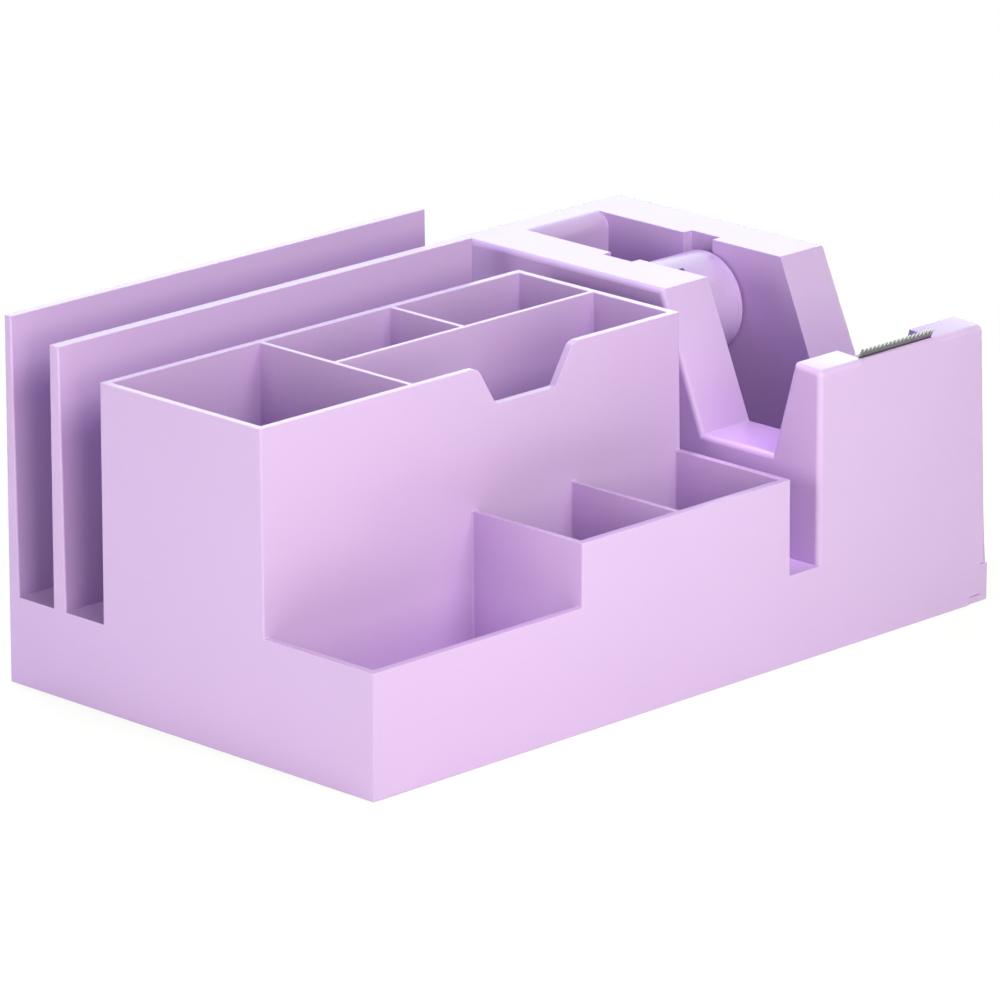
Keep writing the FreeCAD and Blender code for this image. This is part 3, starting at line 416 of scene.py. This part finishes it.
def underside():
    """The drawer's bay and the hollows above it."""
    bottom, end = SKIRT_BOTTOM - PAST, SKIRT_END + PAST
    inner_right = HOUSE_LEFT_FOOT - PAST
    inside = (WALL, DEPTH - WALL)
    return [
        drafted((WALL, end), inside, (bottom, HOUSE_BOTTOM)),
        drafted((WALL, inner_right), inside, (bottom, DECK_BOTTOM)),
        drafted((WALL, inner_right), (BOX_BACK, DEPTH - WALL), (bottom, SLOT_FLOOR - WALL)),
        drafted((BOX_RIGHT_FOOT + DIVIDER, inner_right), (WALL, BOX_BACK + PAST),
                (bottom, GAP_FLOOR - WALL)),
        drafted((HEEL_LEFT - HEEL_GAP, end), (-PAST, DEPTH + PAST), (bottom, HEEL_TOP + HEEL_GAP)),
    ]


def house_room():
    """Room inside the tape housing's walls, around the tape well and the axle slots."""
    low = HOUSE_BOTTOM - PAST
    side = [
        (WALL, low),
        (house_front(TOWER_TOP) + WALL, TOWER_TOP - TOWER_TOP_DROP),
        (TOWER_BACK - TOWER_TOP_SHIFT, TOWER_TOP - TOWER_TOP_DROP),
        (TOWER_FOOT - TOWER_SHIFT, VALLEY_FLOOR - WALL),
        (BLOCK_FOOT + BLOCK_SHIFT, VALLEY_FLOOR - WALL),
        (BLOCK_FRONT + BLOCK_SHIFT, BOX_TOP - WALL),
        (house_back(BOX_TOP) - WALL, BOX_TOP - WALL),
        (DEPTH - WALL, low),
    ]
    room = as_object(prism(side, HOUSE_LEFT_TOP + WALL, HOUSE_RIGHT_TOP - WALL), "house_room")
    across = (AXLE_Y - SEAT_RADIUS - WALL, AXLE_SLOT_BACK + WALL)
    around = [
        drafted((WELL_LEFT - WALL, WELL_RIGHT + WALL), (TOWER_FOOT - WALL, WELL_BACK + WALL + PAST),
                (WELL_FLOOR - WALL, BOX_TOP)),
        drafted((WELL_LEFT - AXLE_SLOT_DEEP - WALL, WELL_RIGHT + AXLE_SLOT_DEEP + WALL), across,
                (AXLE_Z - 2 * WALL, BOX_TOP)),
    ]
    combine(room, around, "DIFFERENCE")
    mesh = bmesh.new()
    mesh.from_mesh(room.data)
    bpy.data.objects.remove(room)
    return mesh


def moulding_width(middle, upright):
    """How far to round an edge of the moulding: wider along the housing's outline and up the corners."""
    near_blade = RECESS_LEFT - LIP_SLOPE - PAST < middle.x < RECESS_RIGHT + LIP_SLOPE + PAST
    if near_blade and middle.z > LIP_TOP - LIP_SLOPE - PAST and middle.y < TOWER_BACK + PAST:
        return 0.0
    if middle.z < DECK_BOTTOM and middle.x > WALL / 2 and WALL / 2 < middle.y < DEPTH - WALL / 2:
        return 0.0
    if middle.x > HEEL_LEFT - PAST and middle.z < HOUSE_BOTTOM - PAST:
        return SEAM_ROUND
    outer = middle.x < HOUSE_LEFT_TOP + PAST / 2 or middle.x > HOUSE_RIGHT_TOP - PAST / 2
    if middle.x > HOUSE_LEFT_FOOT - PAST / 2 and middle.z > GAP_FLOOR + PAST and outer:
        return HOUSE_ROUND
    return UPRIGHT_ROUND if upright and middle.x < BOX_RIGHT_FOOT + PAST else EDGE_ROUND


def make_moulding(material):
    """The organizer's body: one moulding with all its compartments and the tape housing."""
    skirt = drafted((0, SKIRT_END), (0, DEPTH), (SKIRT_BOTTOM, HOUSE_BOTTOM))
    base = as_object(skirt, "organizer_moulding")
    combine(base, outside_blocks(), "UNION")
    tidy_mesh(base)
    hollows = cups() + bays() + crown_cuts() + [notch(), well()]
    hollows += blade_room() + underside() + [house_room()]
    hollows += [axle_slot(WELL_LEFT - AXLE_SLOT_DEEP, WELL_LEFT + PAST),
                axle_slot(WELL_RIGHT - PAST, WELL_RIGHT + AXLE_SLOT_DEEP)]
    combine(base, hollows, "DIFFERENCE")
    tidy_mesh(base)
    lean(base, 0, BOX_RIGHT_FOOT, BOX_RIGHT_RIM, DECK_TOP, BOX_TOP)
    lean(base, 1, BOX_FRONT_FOOT, BOX_FRONT_RIM, DECK_TOP, BOX_TOP)
    lean(base, 0, HOUSE_LEFT_FOOT, HOUSE_LEFT_TOP, HOUSE_BOTTOM, BOX_TOP)
    lean(base, 0, HOUSE_RIGHT_FOOT, HOUSE_RIGHT_TOP, HOUSE_BOTTOM, BOX_TOP)
    round_edges(base, HOUSE_ROUND, moulding_width)
    nodes = ("base_shell", "pen_box", "front_tray", "back_panel", "middle_panel", "tape_housing")
    place(base, "housing", nodes, material)


# ------------------------------------------------------------------ drawer, hub, axle and blade

def make_drawer(material):
    """Shallow tray with two stop tabs, and its front plate with a heel under the skirt."""
    right, far = SKIRT_END + SEAM, DEPTH - TRAY_SIDE
    outside = drafted((TRAY_LEFT, right), (TRAY_SIDE, far), (TRAY_BOTTOM, TRAY_TOP))
    tray = as_object(outside, "drawer_tray_soft")
    inside = drafted((TRAY_LEFT + TRAY_WALL, right - TRAY_WALL), (TRAY_SIDE + TRAY_WALL, far - TRAY_WALL),
                     (TRAY_BOTTOM + TRAY_WALL, TRAY_TOP + PAST))
    tab_long, tab_high = (TRAY_LEFT, TRAY_LEFT + STOP_LONG), (TRAY_BOTTOM, RIB_TOP)
    tabs = [
        drafted(tab_long, (TRAY_SIDE - STOP_TAB, TRAY_SIDE + TRAY_WALL / 2), tab_high),
        drafted(tab_long, (far - TRAY_WALL / 2, far + STOP_TAB), tab_high),
    ]
    combine(tray, [inside], "DIFFERENCE")
    combine(tray, tabs, "UNION")
    tidy_mesh(tray)
    round_edges(tray, DRAWER_ROUND)
    place(tray, "drawer", ["drawer_tray"], material)

    across = (FRONT_INSET, DEPTH - FRONT_INSET)
    plate = as_object(drafted((right, LENGTH), across, (FRONT_BOTTOM, FRONT_TOP)), "drawer_front_soft")
    heel = drafted((HEEL_LEFT, right + PAST), across, (FRONT_BOTTOM, HEEL_TOP))
    combine(plate, [heel], "UNION")
    tidy_mesh(plate)
    round_edges(plate, DRAWER_ROUND,
                lambda middle, upright: DRAWER_ROUND if middle.x > right + PAST else SEAM_ROUND)
    place(plate, "drawer", ["drawer_front"], material)


def turned(name, profile, steps=128):
    """A part turned about the axle line, from (x, radius) points around one half of its section."""
    mesh = bmesh.new()
    ring = [mesh.verts.new((x, AXLE_Y + radius, AXLE_Z)) for x, radius in profile]
    edges = [mesh.edges.new((ring[n - 1], ring[n])) for n in range(len(ring))]
    bmesh.ops.spin(mesh, geom=ring + edges, cent=(0, AXLE_Y, AXLE_Z), axis=(1, 0, 0), dvec=(0, 0, 0),
                   angle=2 * math.pi, steps=steps, use_merge=True, use_duplicate=False)
    bmesh.ops.recalc_face_normals(mesh, faces=mesh.faces)
    return as_object(mesh, name)


def grip_window(turn):
    """One of the openings around the hub's barrel, turned about the axle line."""
    window = drafted((WINDOW_LEFT, WINDOW_LEFT + WINDOW_WIDTH), (-WINDOW_FRONT, -WINDOW_BACK),
                     (WINDOW_LOW, HUB_RADIUS + PAST))
    bmesh.ops.rotate(window, verts=window.verts, matrix=Matrix.Rotation(math.radians(turn), 3, "X"))
    bmesh.ops.translate(window, verts=window.verts, vec=(0, AXLE_Y, AXLE_Z))
    return window


def hub_cap(side, outer, inner, inward, material):
    """End cap: a flange, a spigot inside the barrel and a tube around the axle."""
    tip, web = inner + inward * CAP_SPIGOT, inner + inward * CAP_WEB
    spigot = HUB_RADIUS - HUB_WALL - SPIGOT_FIT
    cap = turned(f"hub_cap_{side}_turned", [
        (outer, CAP_BORE),
        (tip, CAP_BORE),
        (tip, CAP_BORE + CAP_TUBE),
        (web, CAP_BORE + CAP_TUBE),
        (web, spigot - SPIGOT_WALL),
        (tip, spigot - SPIGOT_WALL),
        (tip, spigot),
        (inner, spigot),
        (inner, HUB_RADIUS),
        (outer, HUB_RADIUS),
    ])
    round_edges(cap, CAP_ROUND,
                lambda middle, upright: CAP_ROUND if abs(middle.x - outer) < NEAR else HUB_EDGE)
    place(cap, "hub", [f"hub_cap_{side}"], material)


def make_hub(material, axle_material):
    """Tape hub: a barrel with three windows between two caps, and the axle through it."""
    left, right = HUB_LEFT + CAP_FLANGE, HUB_RIGHT - CAP_FLANGE
    inside = HUB_RADIUS - HUB_WALL
    rings = [left, WINDOW_LEFT - HUB_EDGE * 2, WINDOW_LEFT + WINDOW_WIDTH + HUB_EDGE * 2, right]
    profile = [(ring, inside) for ring in rings] + [(ring, HUB_RADIUS) for ring in reversed(rings)]
    barrel = turned("hub_barrel_turned", profile)
    combine(barrel, [grip_window(360 / WINDOWS * number) for number in range(WINDOWS)], "DIFFERENCE")
    round_edges(barrel, HUB_EDGE, segments=2)
    place(barrel, "hub", ["hub_barrel"], material)
    hub_cap("left", HUB_LEFT, left, 1, material)
    hub_cap("right", HUB_RIGHT, right, -1, material)

    axle_left = WELL_LEFT - AXLE_SLOT_DEEP + AXLE_GAP
    axle_right = WELL_RIGHT + AXLE_SLOT_DEEP - AXLE_GAP
    bar = round_bar(AXLE_RADIUS, (axle_left, AXLE_Y, AXLE_Z), axle_right - axle_left)
    axle = as_object(bar, "axle_turned")
    round_edges(axle, AXLE_BEVEL, segments=3)
    place(axle, "axle", ["hub_axle"], axle_material)


def make_blade(material):
    """Steel strip bent to an L, with a row of teeth along the edge that leans forward."""
    front, base = LIP_BACK + BLADE_FIT, RECESS_FLOOR + BLADE_FIT
    left, right = RECESS_LEFT + BLADE_END_GAP, RECESS_RIGHT - BLADE_END_GAP
    blade = as_object(prism([
        (front, base),
        (front + BLADE_BASE, base),
        (front + BLADE_BASE, base + BLADE_THICK),
        (front + BLADE_THICK, base + BLADE_THICK),
        (front + BLADE_THICK, LIP_TOP),
        (front + BLADE_THICK - BLADE_LEAN, BLADE_TOP),
        (front - BLADE_LEAN, BLADE_TOP),
        (front, LIP_TOP),
    ], left, right), "cutter_blade_ground")
    teeth = int((right - left) / TOOTH_PITCH)
    above = BLADE_TOP + TOOTH_DEEP / 4
    gaps = []
    for tooth in range(teeth):
        start = left + tooth * TOOTH_PITCH
        middle = start + TOOTH_PITCH / 2
        side = [(start, above), (middle, BLADE_TOP - TOOTH_DEEP), (start + TOOTH_PITCH, above)]
        gaps.append(prism(side, 0, LIP_BACK + BLADE_BASE, "Y"))
    combine(blade, gaps, "DIFFERENCE")
    tidy_mesh(blade)
    round_edges(blade, BLADE_EDGE, segments=2)
    place(blade, "housing", ["cutter_blade"], material)


def soften(node, material, width):
    """A part under the base, taken from its node's mesh, with its sharp edges rounded."""
    mesh = bmesh.new()
    mesh.from_mesh(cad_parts[node].data)
    bmesh.ops.remove_doubles(mesh, verts=mesh.verts, dist=MERGE * MM)
    bmesh.ops.dissolve_limit(mesh, angle_limit=FLAT, verts=mesh.verts, edges=mesh.edges)
    thing = as_object(mesh, f"{node}_soft")
    round_edges(thing, width, segments=2)
    dress(thing, "housing", [node], material)


# ------------------------------------------------------------------ materials

# Noise is used between NOISE_LOW and NOISE_HIGH, and the plastic's clouds between CLOUD_LOW and
# CLOUD_HIGH. The pairs say what the two ends stand for: shares of a colour, tone or roughness, or a
# roughness itself. STEEL_COOL is the steel's blue as a share of its red and green.
NOISE_LOW, NOISE_HIGH = 0.3, 0.7
CLOUD_LOW, CLOUD_HIGH = 0.35, 0.65
PLASTIC_CLOUDING, PLASTIC_POLISH = (0.992, 1.006), (0.95, 1.05)
STEEL_CLOUDING, STEEL_POLISH, STEEL_COOL = (0.88, 1.06), (0.8, 1.25), 1.02
BLADE_ROUGHNESS, RUBBER_ROUGHNESS = (0.3, 0.45), (0.7, 0.85)


def node_tree(name):
    """A new material with its shader and an Object coordinate, ready for nodes."""
    material = bpy.data.materials.new(name)
    material.use_nodes = True
    tree = material.node_tree
    shader = tree.nodes["Principled BSDF"]
    where = tree.nodes.new("ShaderNodeTexCoord")
    return material, tree, shader, where.outputs["Object"]


def noise(tree, where, scale, detail=3, stretch=None):
    """Noise on Object coordinates, stretched along an axis where stretch is given."""
    texture = tree.nodes.new("ShaderNodeTexNoise")
    texture.inputs["Scale"].default_value = scale
    texture.inputs["Detail"].default_value = detail
    if stretch:
        mapping = tree.nodes.new("ShaderNodeMapping")
        mapping.inputs["Scale"].default_value = stretch
        tree.links.new(where, mapping.inputs["Vector"])
        where = mapping.outputs["Vector"]
    tree.links.new(where, texture.inputs["Vector"])
    return texture.outputs["Fac"]


def ramp(tree, factor, stops):
    """A colour ramp from (position, colour) stops."""
    node = tree.nodes.new("ShaderNodeValToRGB")
    for element, (position, colour) in zip(node.color_ramp.elements, stops):
        element.position = position
        element.color = (*colour, 1)
    tree.links.new(factor, node.inputs["Fac"])
    return node.outputs["Color"]


def spread(tree, factor, low, high):
    """Noise spread between two values."""
    node = tree.nodes.new("ShaderNodeMapRange")
    node.inputs["From Min"].default_value = NOISE_LOW
    node.inputs["From Max"].default_value = NOISE_HIGH
    node.inputs["To Min"].default_value = low
    node.inputs["To Max"].default_value = high
    tree.links.new(factor, node.inputs["Value"])
    return node.outputs["Result"]


def bump(tree, shader, height, distance, strength, below=None):
    """Bump from a height, over another bump where one is given."""
    node = tree.nodes.new("ShaderNodeBump")
    node.inputs["Distance"].default_value = distance
    node.inputs["Strength"].default_value = strength
    tree.links.new(height, node.inputs["Height"])
    if below:
        tree.links.new(below.outputs["Normal"], node.inputs["Normal"])
    tree.links.new(node.outputs["Normal"], shader.inputs["Normal"])
    return node


def moulded_plastic(name, colour, roughness, grain):
    """Smooth moulded plastic: faint clouding, slow waviness of the walls and a fine skin."""
    material, tree, shader, where = node_tree(name)
    deep, pale = [[part * share for part in colour] for share in PLASTIC_CLOUDING]
    cloud = noise(tree, where, scale=22, detail=2)
    tint = ramp(tree, cloud, [(CLOUD_LOW, deep), (CLOUD_HIGH, pale)])
    tree.links.new(tint, shader.inputs["Base Color"])
    smooth, rough = [roughness * share for share in PLASTIC_POLISH]
    polish = spread(tree, noise(tree, where, scale=60), smooth, rough)
    tree.links.new(polish, shader.inputs["Roughness"])
    waviness = noise(tree, where, scale=26, detail=1)
    waves = bump(tree, shader, waviness, distance=0.0002, strength=0.2)
    skin = noise(tree, where, scale=2600, detail=2)
    bump(tree, shader, skin, distance=grain, strength=0.5, below=waves)
    shader.inputs["IOR"].default_value = 1.5
    shader.inputs["Specular Tint"].default_value = (*NORMAL_SHEEN, 1)
    return material


def steel(name, tone, roughness, stretch):
    """Rolled steel with fine lines along one direction and a little clouding."""
    material, tree, shader, where = node_tree(name)
    shader.inputs["Metallic"].default_value = 1
    lines = noise(tree, where, scale=160, detail=4, stretch=stretch)
    dark, light = [(tone * share, tone * share, tone * share * STEEL_COOL) for share in STEEL_CLOUDING]
    tint = ramp(tree, lines, [(NOISE_LOW, dark), (NOISE_HIGH, light)])
    tree.links.new(tint, shader.inputs["Base Color"])
    smooth, rough = [roughness * share for share in STEEL_POLISH]
    tree.links.new(spread(tree, lines, smooth, rough), shader.inputs["Roughness"])
    bump(tree, shader, lines, distance=0.00003, strength=0.4)
    return material


def blade_steel():
    """Cutter steel: a grey strip with fine lines, and painted shadow darkening its foot along the lip
    line.
    """
    material, tree, shader, where = node_tree("blade_steel_with_painted_shadow")
    shader.inputs["Metallic"].default_value = 0.9
    parts = tree.nodes.new("ShaderNodeSeparateXYZ")
    tree.links.new(where, parts.inputs["Vector"])
    # Painted shadow: the blade is dark up to the lip line and fades to its own grey just above it.
    shadow_fade = tree.nodes.new("ShaderNodeMapRange")
    shadow_fade.inputs["From Min"].default_value = BLADE_SHADOW_FROM * MM
    shadow_fade.inputs["From Max"].default_value = BLADE_SHADOW_TO * MM
    tree.links.new(parts.outputs["Z"], shadow_fade.inputs["Value"])
    tone = ramp(tree, shadow_fade.outputs["Result"], [(0, BLADE_PAINTED_SHADOW), (1, BLADE_GREY)])
    lines = noise(tree, where, scale=220, detail=4, stretch=(60, 1, 1))
    shade = tree.nodes.new("ShaderNodeMixRGB")
    shade.blend_type = "MULTIPLY"
    shade.inputs[0].default_value = 1
    tree.links.new(tone, shade.inputs[1])
    streaks = ramp(tree, lines, [(NOISE_LOW, STREAK_DARK), (NOISE_HIGH, STREAK_PALE)])
    tree.links.new(streaks, shade.inputs[2])
    tree.links.new(shade.outputs[0], shader.inputs["Base Color"])
    tree.links.new(spread(tree, lines, *BLADE_ROUGHNESS), shader.inputs["Roughness"])
    bump(tree, shader, lines, distance=0.00002, strength=0.5)
    return material


def rubber_skin():
    """Soft grey rubber with a fine grain."""
    material, tree, shader, where = node_tree("pad_rubber")
    grain = noise(tree, where, scale=1800)
    tone = ramp(tree, grain, [(NOISE_LOW, RUBBER_DARK), (NOISE_HIGH, RUBBER_PALE)])
    tree.links.new(tone, shader.inputs["Base Color"])
    tree.links.new(spread(tree, grain, *RUBBER_ROUGHNESS), shader.inputs["Roughness"])
    bump(tree, shader, grain, distance=0.00005, strength=0.4)
    return material


# ------------------------------------------------------------------ floor, surroundings, lamps and camera

# Two distances in metres from the middle, and the floor's share of plain white at each, as the camera
# sees it.
FLOOR_FADE = (0.12, 0.3, 0.8, 1.0)


def make_floor():
    """A wide pale floor that keeps a soft shadow near the object and fades to white away from it."""
    mesh = bmesh.new()
    bmesh.ops.create_grid(mesh, x_segments=1, y_segments=1, size=FLOOR_REACH)
    floor = as_object(mesh, "floor")
    material, tree, shader, where = node_tree("pale_floor")
    shader.inputs["Base Color"].default_value = (*FLOOR_PALE, 1)
    shader.inputs["Roughness"].default_value = 0.9
    glow = tree.nodes.new("ShaderNodeEmission")
    blend = tree.nodes.new("ShaderNodeMixShader")
    path = tree.nodes.new("ShaderNodeLightPath")
    away = tree.nodes.new("ShaderNodeVectorMath")
    away.operation = "LENGTH"
    tree.links.new(where, away.inputs[0])
    fade = tree.nodes.new("ShaderNodeMapRange")
    for setting, value in zip(("From Min", "From Max", "To Min", "To Max"), FLOOR_FADE):
        fade.inputs[setting].default_value = value
    tree.links.new(away.outputs["Value"], fade.inputs["Value"])
    share = tree.nodes.new("ShaderNodeMath")
    share.operation = "MULTIPLY"
    tree.links.new(fade.outputs["Result"], share.inputs[1])
    tree.links.new(path.outputs["Is Camera Ray"], share.inputs[0])
    tree.links.new(share.outputs[0], blend.inputs[0])
    tree.links.new(shader.outputs[0], blend.inputs[1])
    tree.links.new(glow.outputs[0], blend.inputs[2])
    tree.links.new(blend.outputs[0], tree.nodes["Material Output"].inputs["Surface"])
    floor.data.materials.append(material)


REFLECTED = (2.6, 3.1, 2.55)


def make_world():
    """White surroundings: seen as white, brighter in reflections, and no light on matt surfaces."""
    world = bpy.data.worlds.new("surroundings")
    bpy.context.scene.world = world
    world.use_nodes = True
    tree = world.node_tree
    unlit = tree.nodes["Background"]
    unlit.inputs["Strength"].default_value = 0
    white = tree.nodes.new("ShaderNodeBackground")
    path = tree.nodes.new("ShaderNodeLightPath")
    seen_as = tree.nodes.new("ShaderNodeMixRGB")
    seen_as.inputs[1].default_value = (1, 1, 1, 1)
    seen_as.inputs[2].default_value = (*REFLECTED, 1)
    tree.links.new(path.outputs["Is Glossy Ray"], seen_as.inputs[0])
    tree.links.new(seen_as.outputs[0], white.inputs["Color"])
    seen = tree.nodes.new("ShaderNodeMath")
    seen.operation = "MAXIMUM"
    through = tree.nodes.new("ShaderNodeMath")
    through.operation = "MAXIMUM"
    tree.links.new(path.outputs["Is Camera Ray"], seen.inputs[0])
    tree.links.new(path.outputs["Is Glossy Ray"], seen.inputs[1])
    tree.links.new(seen.outputs[0], through.inputs[0])
    tree.links.new(path.outputs["Is Transmission Ray"], through.inputs[1])
    blend = tree.nodes.new("ShaderNodeMixShader")
    tree.links.new(through.outputs[0], blend.inputs[0])
    tree.links.new(unlit.outputs[0], blend.inputs[1])
    tree.links.new(white.outputs[0], blend.inputs[2])
    tree.links.new(blend.outputs[0], tree.nodes["World Output"].inputs["Surface"])


# A lamp's name, its azimuth from the front and its rise over the floor in degrees, and its power in each
# colour. The lamps that only fill the shade behind don't show in reflections.
LAMP_AIM = Vector((0, 0, 0.04))
LAMP_DISTANCE, LAMP_WIDTH = 0.45, 0.2
SOFTBOXES = [
    ("front_low", 0, 15, (0.40, 0.62, 0.30)),
    ("front_high", 0, 45, (1.26, 1.56, 1.04)),
    ("front_left_low", -30, 15, (0.60, 0.65, 0.43)),
    ("front_left_high", -30, 45, (0.27, 0.28, 0.25)),
    ("left_low", -90, 15, (1.02, 1.32, 0.84)),
    ("back_top", 180, 60, (0.55, 0.54, 0.85)),
    ("right_low", 110, 15, (0.75, 0.85, 0.68)),
    ("back_low", 180, 15, (0.85, 0.96, 0.78)),
]
FILL_LAMPS = ("right_low", "back_low")
VALLEY_LAMP, VALLEY_AIM = Vector((-0.02, 0.03, 0.40)), Vector((0.048, -0.034, 0.05))
VALLEY_WIDTH, VALLEY_SPREAD, VALLEY_POWER = 0.03, math.radians(5), 0.0022


def direction(azimuth, rise):
    """Unit vector to an azimuth from the front and a rise over the floor, in radians."""
    level = math.cos(rise)
    return Vector((math.sin(azimuth) * level, -math.cos(azimuth) * level, math.sin(rise)))


def hang(lamp, spot, away):
    """Hang a lamp at a spot, pointing back along a direction and unseen by the camera."""
    holder = bpy.data.objects.new(lamp.name, lamp)
    holder.location = spot
    holder.rotation_euler = away.to_track_quat("Z", "Y").to_euler()
    holder.visible_camera = False
    holder.visible_glossy = lamp.name not in FILL_LAMPS
    bpy.context.scene.collection.objects.link(holder)


def make_softboxes():
    """Soft square lamps around the object."""
    for name, azimuth, rise, power in SOFTBOXES:
        lamp = bpy.data.lights.new(name, "AREA")
        lamp.size = LAMP_WIDTH
        lamp.energy = max(power)
        lamp.color = [part / max(power) for part in power]
        away = direction(math.radians(azimuth), math.radians(rise))
        hang(lamp, LAMP_AIM + away * LAMP_DISTANCE, away)


def make_valley_light():
    """A narrow lamp that lifts the shade between the tower and the rear block."""
    lamp = bpy.data.lights.new("valley_light", "AREA")
    lamp.size = VALLEY_WIDTH
    lamp.spread = VALLEY_SPREAD
    lamp.energy = VALLEY_POWER
    hang(lamp, VALLEY_LAMP, VALLEY_LAMP - VALLEY_AIM)


CAMERA_AZIMUTH, CAMERA_RISE = math.radians(-45.434), math.radians(17.176)
CAMERA_ROLL = math.radians(0.073)
CAMERA_AIM, CAMERA_DISTANCE = Vector((-0.00054, 0.00189, 0.03453)), 1.8023
CAMERA_LENS, CAMERA_SENSOR = 274.7, 36


def make_camera():
    """A long lens from the front left, a little above the rims."""
    lens = bpy.data.cameras.new("camera")
    lens.lens = CAMERA_LENS
    lens.sensor_width = CAMERA_SENSOR
    lens.clip_start, lens.clip_end = 0.05, 50
    holder = bpy.data.objects.new("camera", lens)
    bpy.context.scene.collection.objects.link(holder)
    back = direction(CAMERA_AZIMUTH, CAMERA_RISE)
    spot = Matrix.Translation(CAMERA_AIM + back * CAMERA_DISTANCE)
    turn = (-back).to_track_quat("-Z", "Y").to_matrix().to_4x4()
    holder.matrix_world = spot @ turn @ Matrix.Rotation(CAMERA_ROLL, 4, "Z")
    bpy.context.scene.camera = holder


make_camera()
make_world()
make_softboxes()
make_valley_light()
make_floor()
lilac = moulded_plastic("lilac_plastic", LILAC, roughness=0.22, grain=0.00002)
hub_lilac = moulded_plastic("hub_plastic", HUB_LILAC, roughness=0.28, grain=0.00002)
matte_lilac = moulded_plastic("matte_plastic", LILAC, roughness=0.5, grain=0.00004)
bright_steel = steel("bright_steel", tone=0.55, roughness=0.22, stretch=(1, 60, 60))
plate_steel = steel("plate_steel", tone=0.42, roughness=0.4, stretch=(60, 2, 60))
rubber = rubber_skin()
make_moulding(lilac)
make_drawer(lilac)
make_hub(hub_lilac, bright_steel)
make_blade(blade_steel())
for plain_part in ("bottom_cover", "ballast_holder"):
    soften(plain_part, matte_lilac, COVER_ROUND)
soften("ballast_plate", plate_steel, BALLAST_ROUND)
for screw_set in ("cover_screws", "ballast_screws"):
    soften(screw_set, bright_steel, SCREW_ROUND)
for foot in FEET:
    soften(foot, rubber, FOOT_ROUND)

bpy.context.scene.view_settings.view_transform = "Standard"
